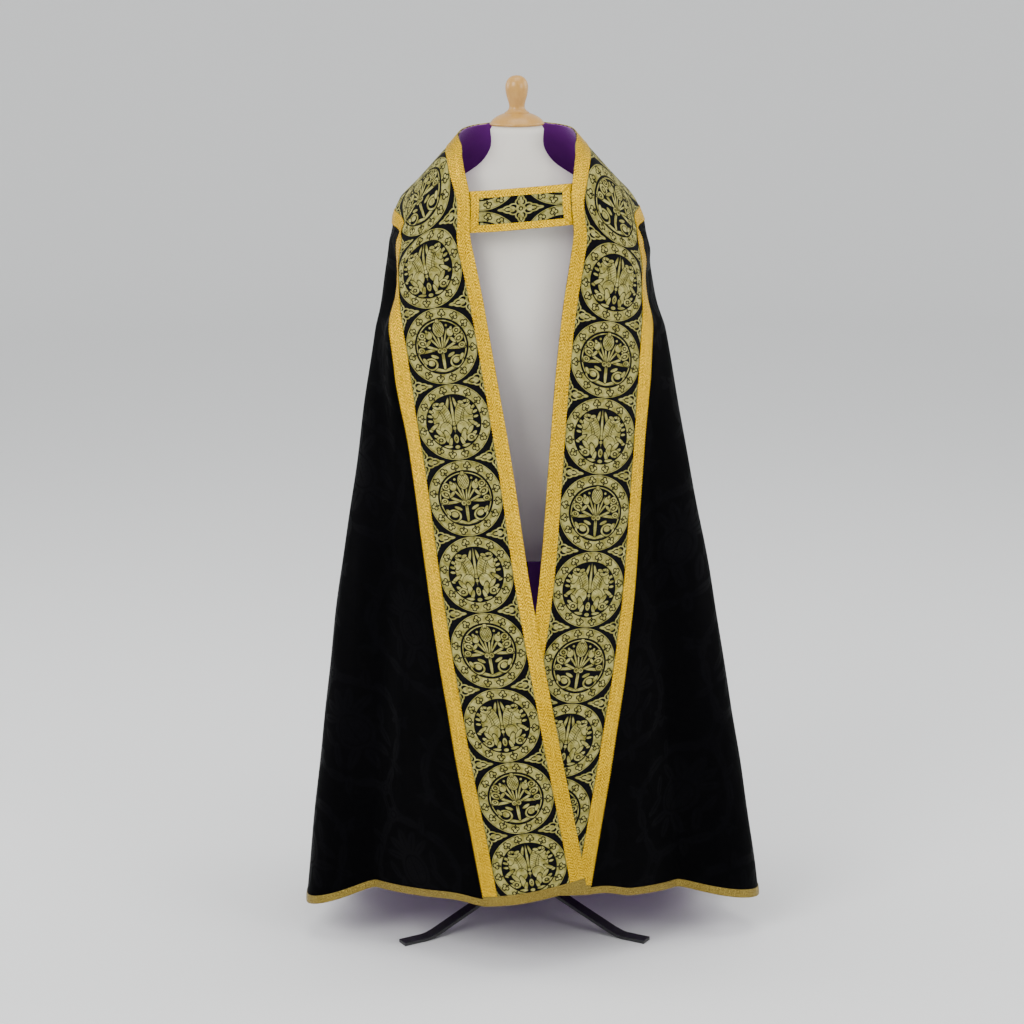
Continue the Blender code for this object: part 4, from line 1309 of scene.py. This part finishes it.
# The cap and the finial are turned from pale wood, sanded and varnished.
CAP = ((0.0, 1.5632), (0.018, 1.5626), (0.027, 1.5604), (0.0365, 1.5562), (0.0443, 1.5508),
       (0.0490, 1.5450), (0.0496, 1.5420), (0.0478, 1.5403), (0.0, 1.5403))
FINIAL = ((0.0, 1.6300), (0.0088, 1.6284), (0.0158, 1.6232), (0.0198, 1.6155), (0.0208, 1.6080),
          (0.0202, 1.6000), (0.0182, 1.5905), (0.0156, 1.5820), (0.0143, 1.5755), (0.0150, 1.5700),
          (0.0185, 1.5656), (0.0225, 1.5630), (0.0225, 1.5612), (0.0, 1.5612))


def wood_material():
    material, paint = new_material("turned wood")
    place = paint.node("ShaderNodeTexCoord").outputs["Object"]
    mapped = paint.node("ShaderNodeMapping")
    paint.put(mapped.inputs["Vector"], place)
    mapped.inputs["Scale"].default_value = (60.0, 60.0, 7.0)
    grain = paint.noise(mapped.outputs[0], 1.6, 5.0, 0.6)
    fine = paint.noise(mapped.outputs[0], 9.0, 3.0, 0.6)
    tone = paint.math("MULTIPLY_ADD", fine, 0.4, paint.math("MULTIPLY", grain, 0.7), clamp=True)
    paint.surface(paint.mix(tone, (0.68, 0.385, 0.085), (0.38, 0.170, 0.024)),
                  paint.between(fine, 0.28, 0.42),
                  paint.bump(fine, 0.2, 0.0004),
                  Coat_Weight=0.25)
    return material


WOOD = wood_material()


def add_turned(node, profile):
    """The profile as a smooth curve, spun round the pole's axis."""
    points = np.array(profile)
    fine = []
    for a, b in zip(range(len(points) - 1), range(1, len(points))):
        before, after = points[max(a - 1, 0)], points[min(b + 1, len(points) - 1)]
        flat = a >= len(points) - 3
        for t in np.linspace(0.0, 1.0, 2 if flat else 7)[:-1]:
            if flat:
                fine.append(points[a] * (1 - t) + points[b] * t)
            else:
                m0 = 0.5 * (points[b] - before)
                m1 = 0.5 * (after - points[a])
                fine.append((2 * t**3 - 3 * t**2 + 1) * points[a] + (t**3 - 2 * t**2 + t) * m0
                            + (3 * t**2 - 2 * t**3) * points[b] + (t**3 - t**2) * m1)
    fine.append(points[-1])
    mesh = bmesh.new()
    verts = [mesh.verts.new((FORM_X + max(r, 0.0), FORM_Y, z)) for r, z in fine]
    edges = [mesh.edges.new(pair) for pair in zip(verts, verts[1:])]
    bmesh.ops.spin(mesh, geom=verts + edges, cent=(FORM_X, FORM_Y, 0.0), axis=(0, 0, 1),
                   angle=2 * math.pi, steps=72, use_merge=True)
    bmesh.ops.remove_doubles(mesh, verts=mesh.verts[:], dist=0.00002)
    bmesh.ops.recalc_face_normals(mesh, faces=mesh.faces[:])
    data = bpy.data.meshes.new(node + "_wood")
    mesh.to_mesh(data)
    mesh.free()
    data.shade_smooth()
    data.set_sharp_from_angle(angle=math.radians(45.0))
    piece = add_piece(node + "_wood", data, WOOD)
    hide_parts(node)
    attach(piece, "root")


add_turned("neck_cap", CAP)
add_turned("finial", FINIAL)


# The stand: a tube pole in a hub, on three legs of flat strip bent level at the floor, all steel
# with black paint that has rubbed a little.
def steel_material():
    material, paint = new_material("black painted steel")
    place = paint.node("ShaderNodeTexCoord").outputs["Object"]
    dust = paint.noise(place, 30.0, 4.0)
    specks = paint.noise(place, 420.0, 2.0)
    paint.surface(paint.mix(dust, (0.010, 0.010, 0.011), (0.030, 0.030, 0.032)),
                  paint.between(dust, 0.32, 0.55),
                  paint.bump(specks, 0.15, 0.0003))
    return material


STEEL = steel_material()
for node in ("pole", "hub", "leg_left", "leg_right", "leg_back"):
    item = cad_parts[node]
    item.data.materials.clear()
    item.data.materials.append(STEEL)
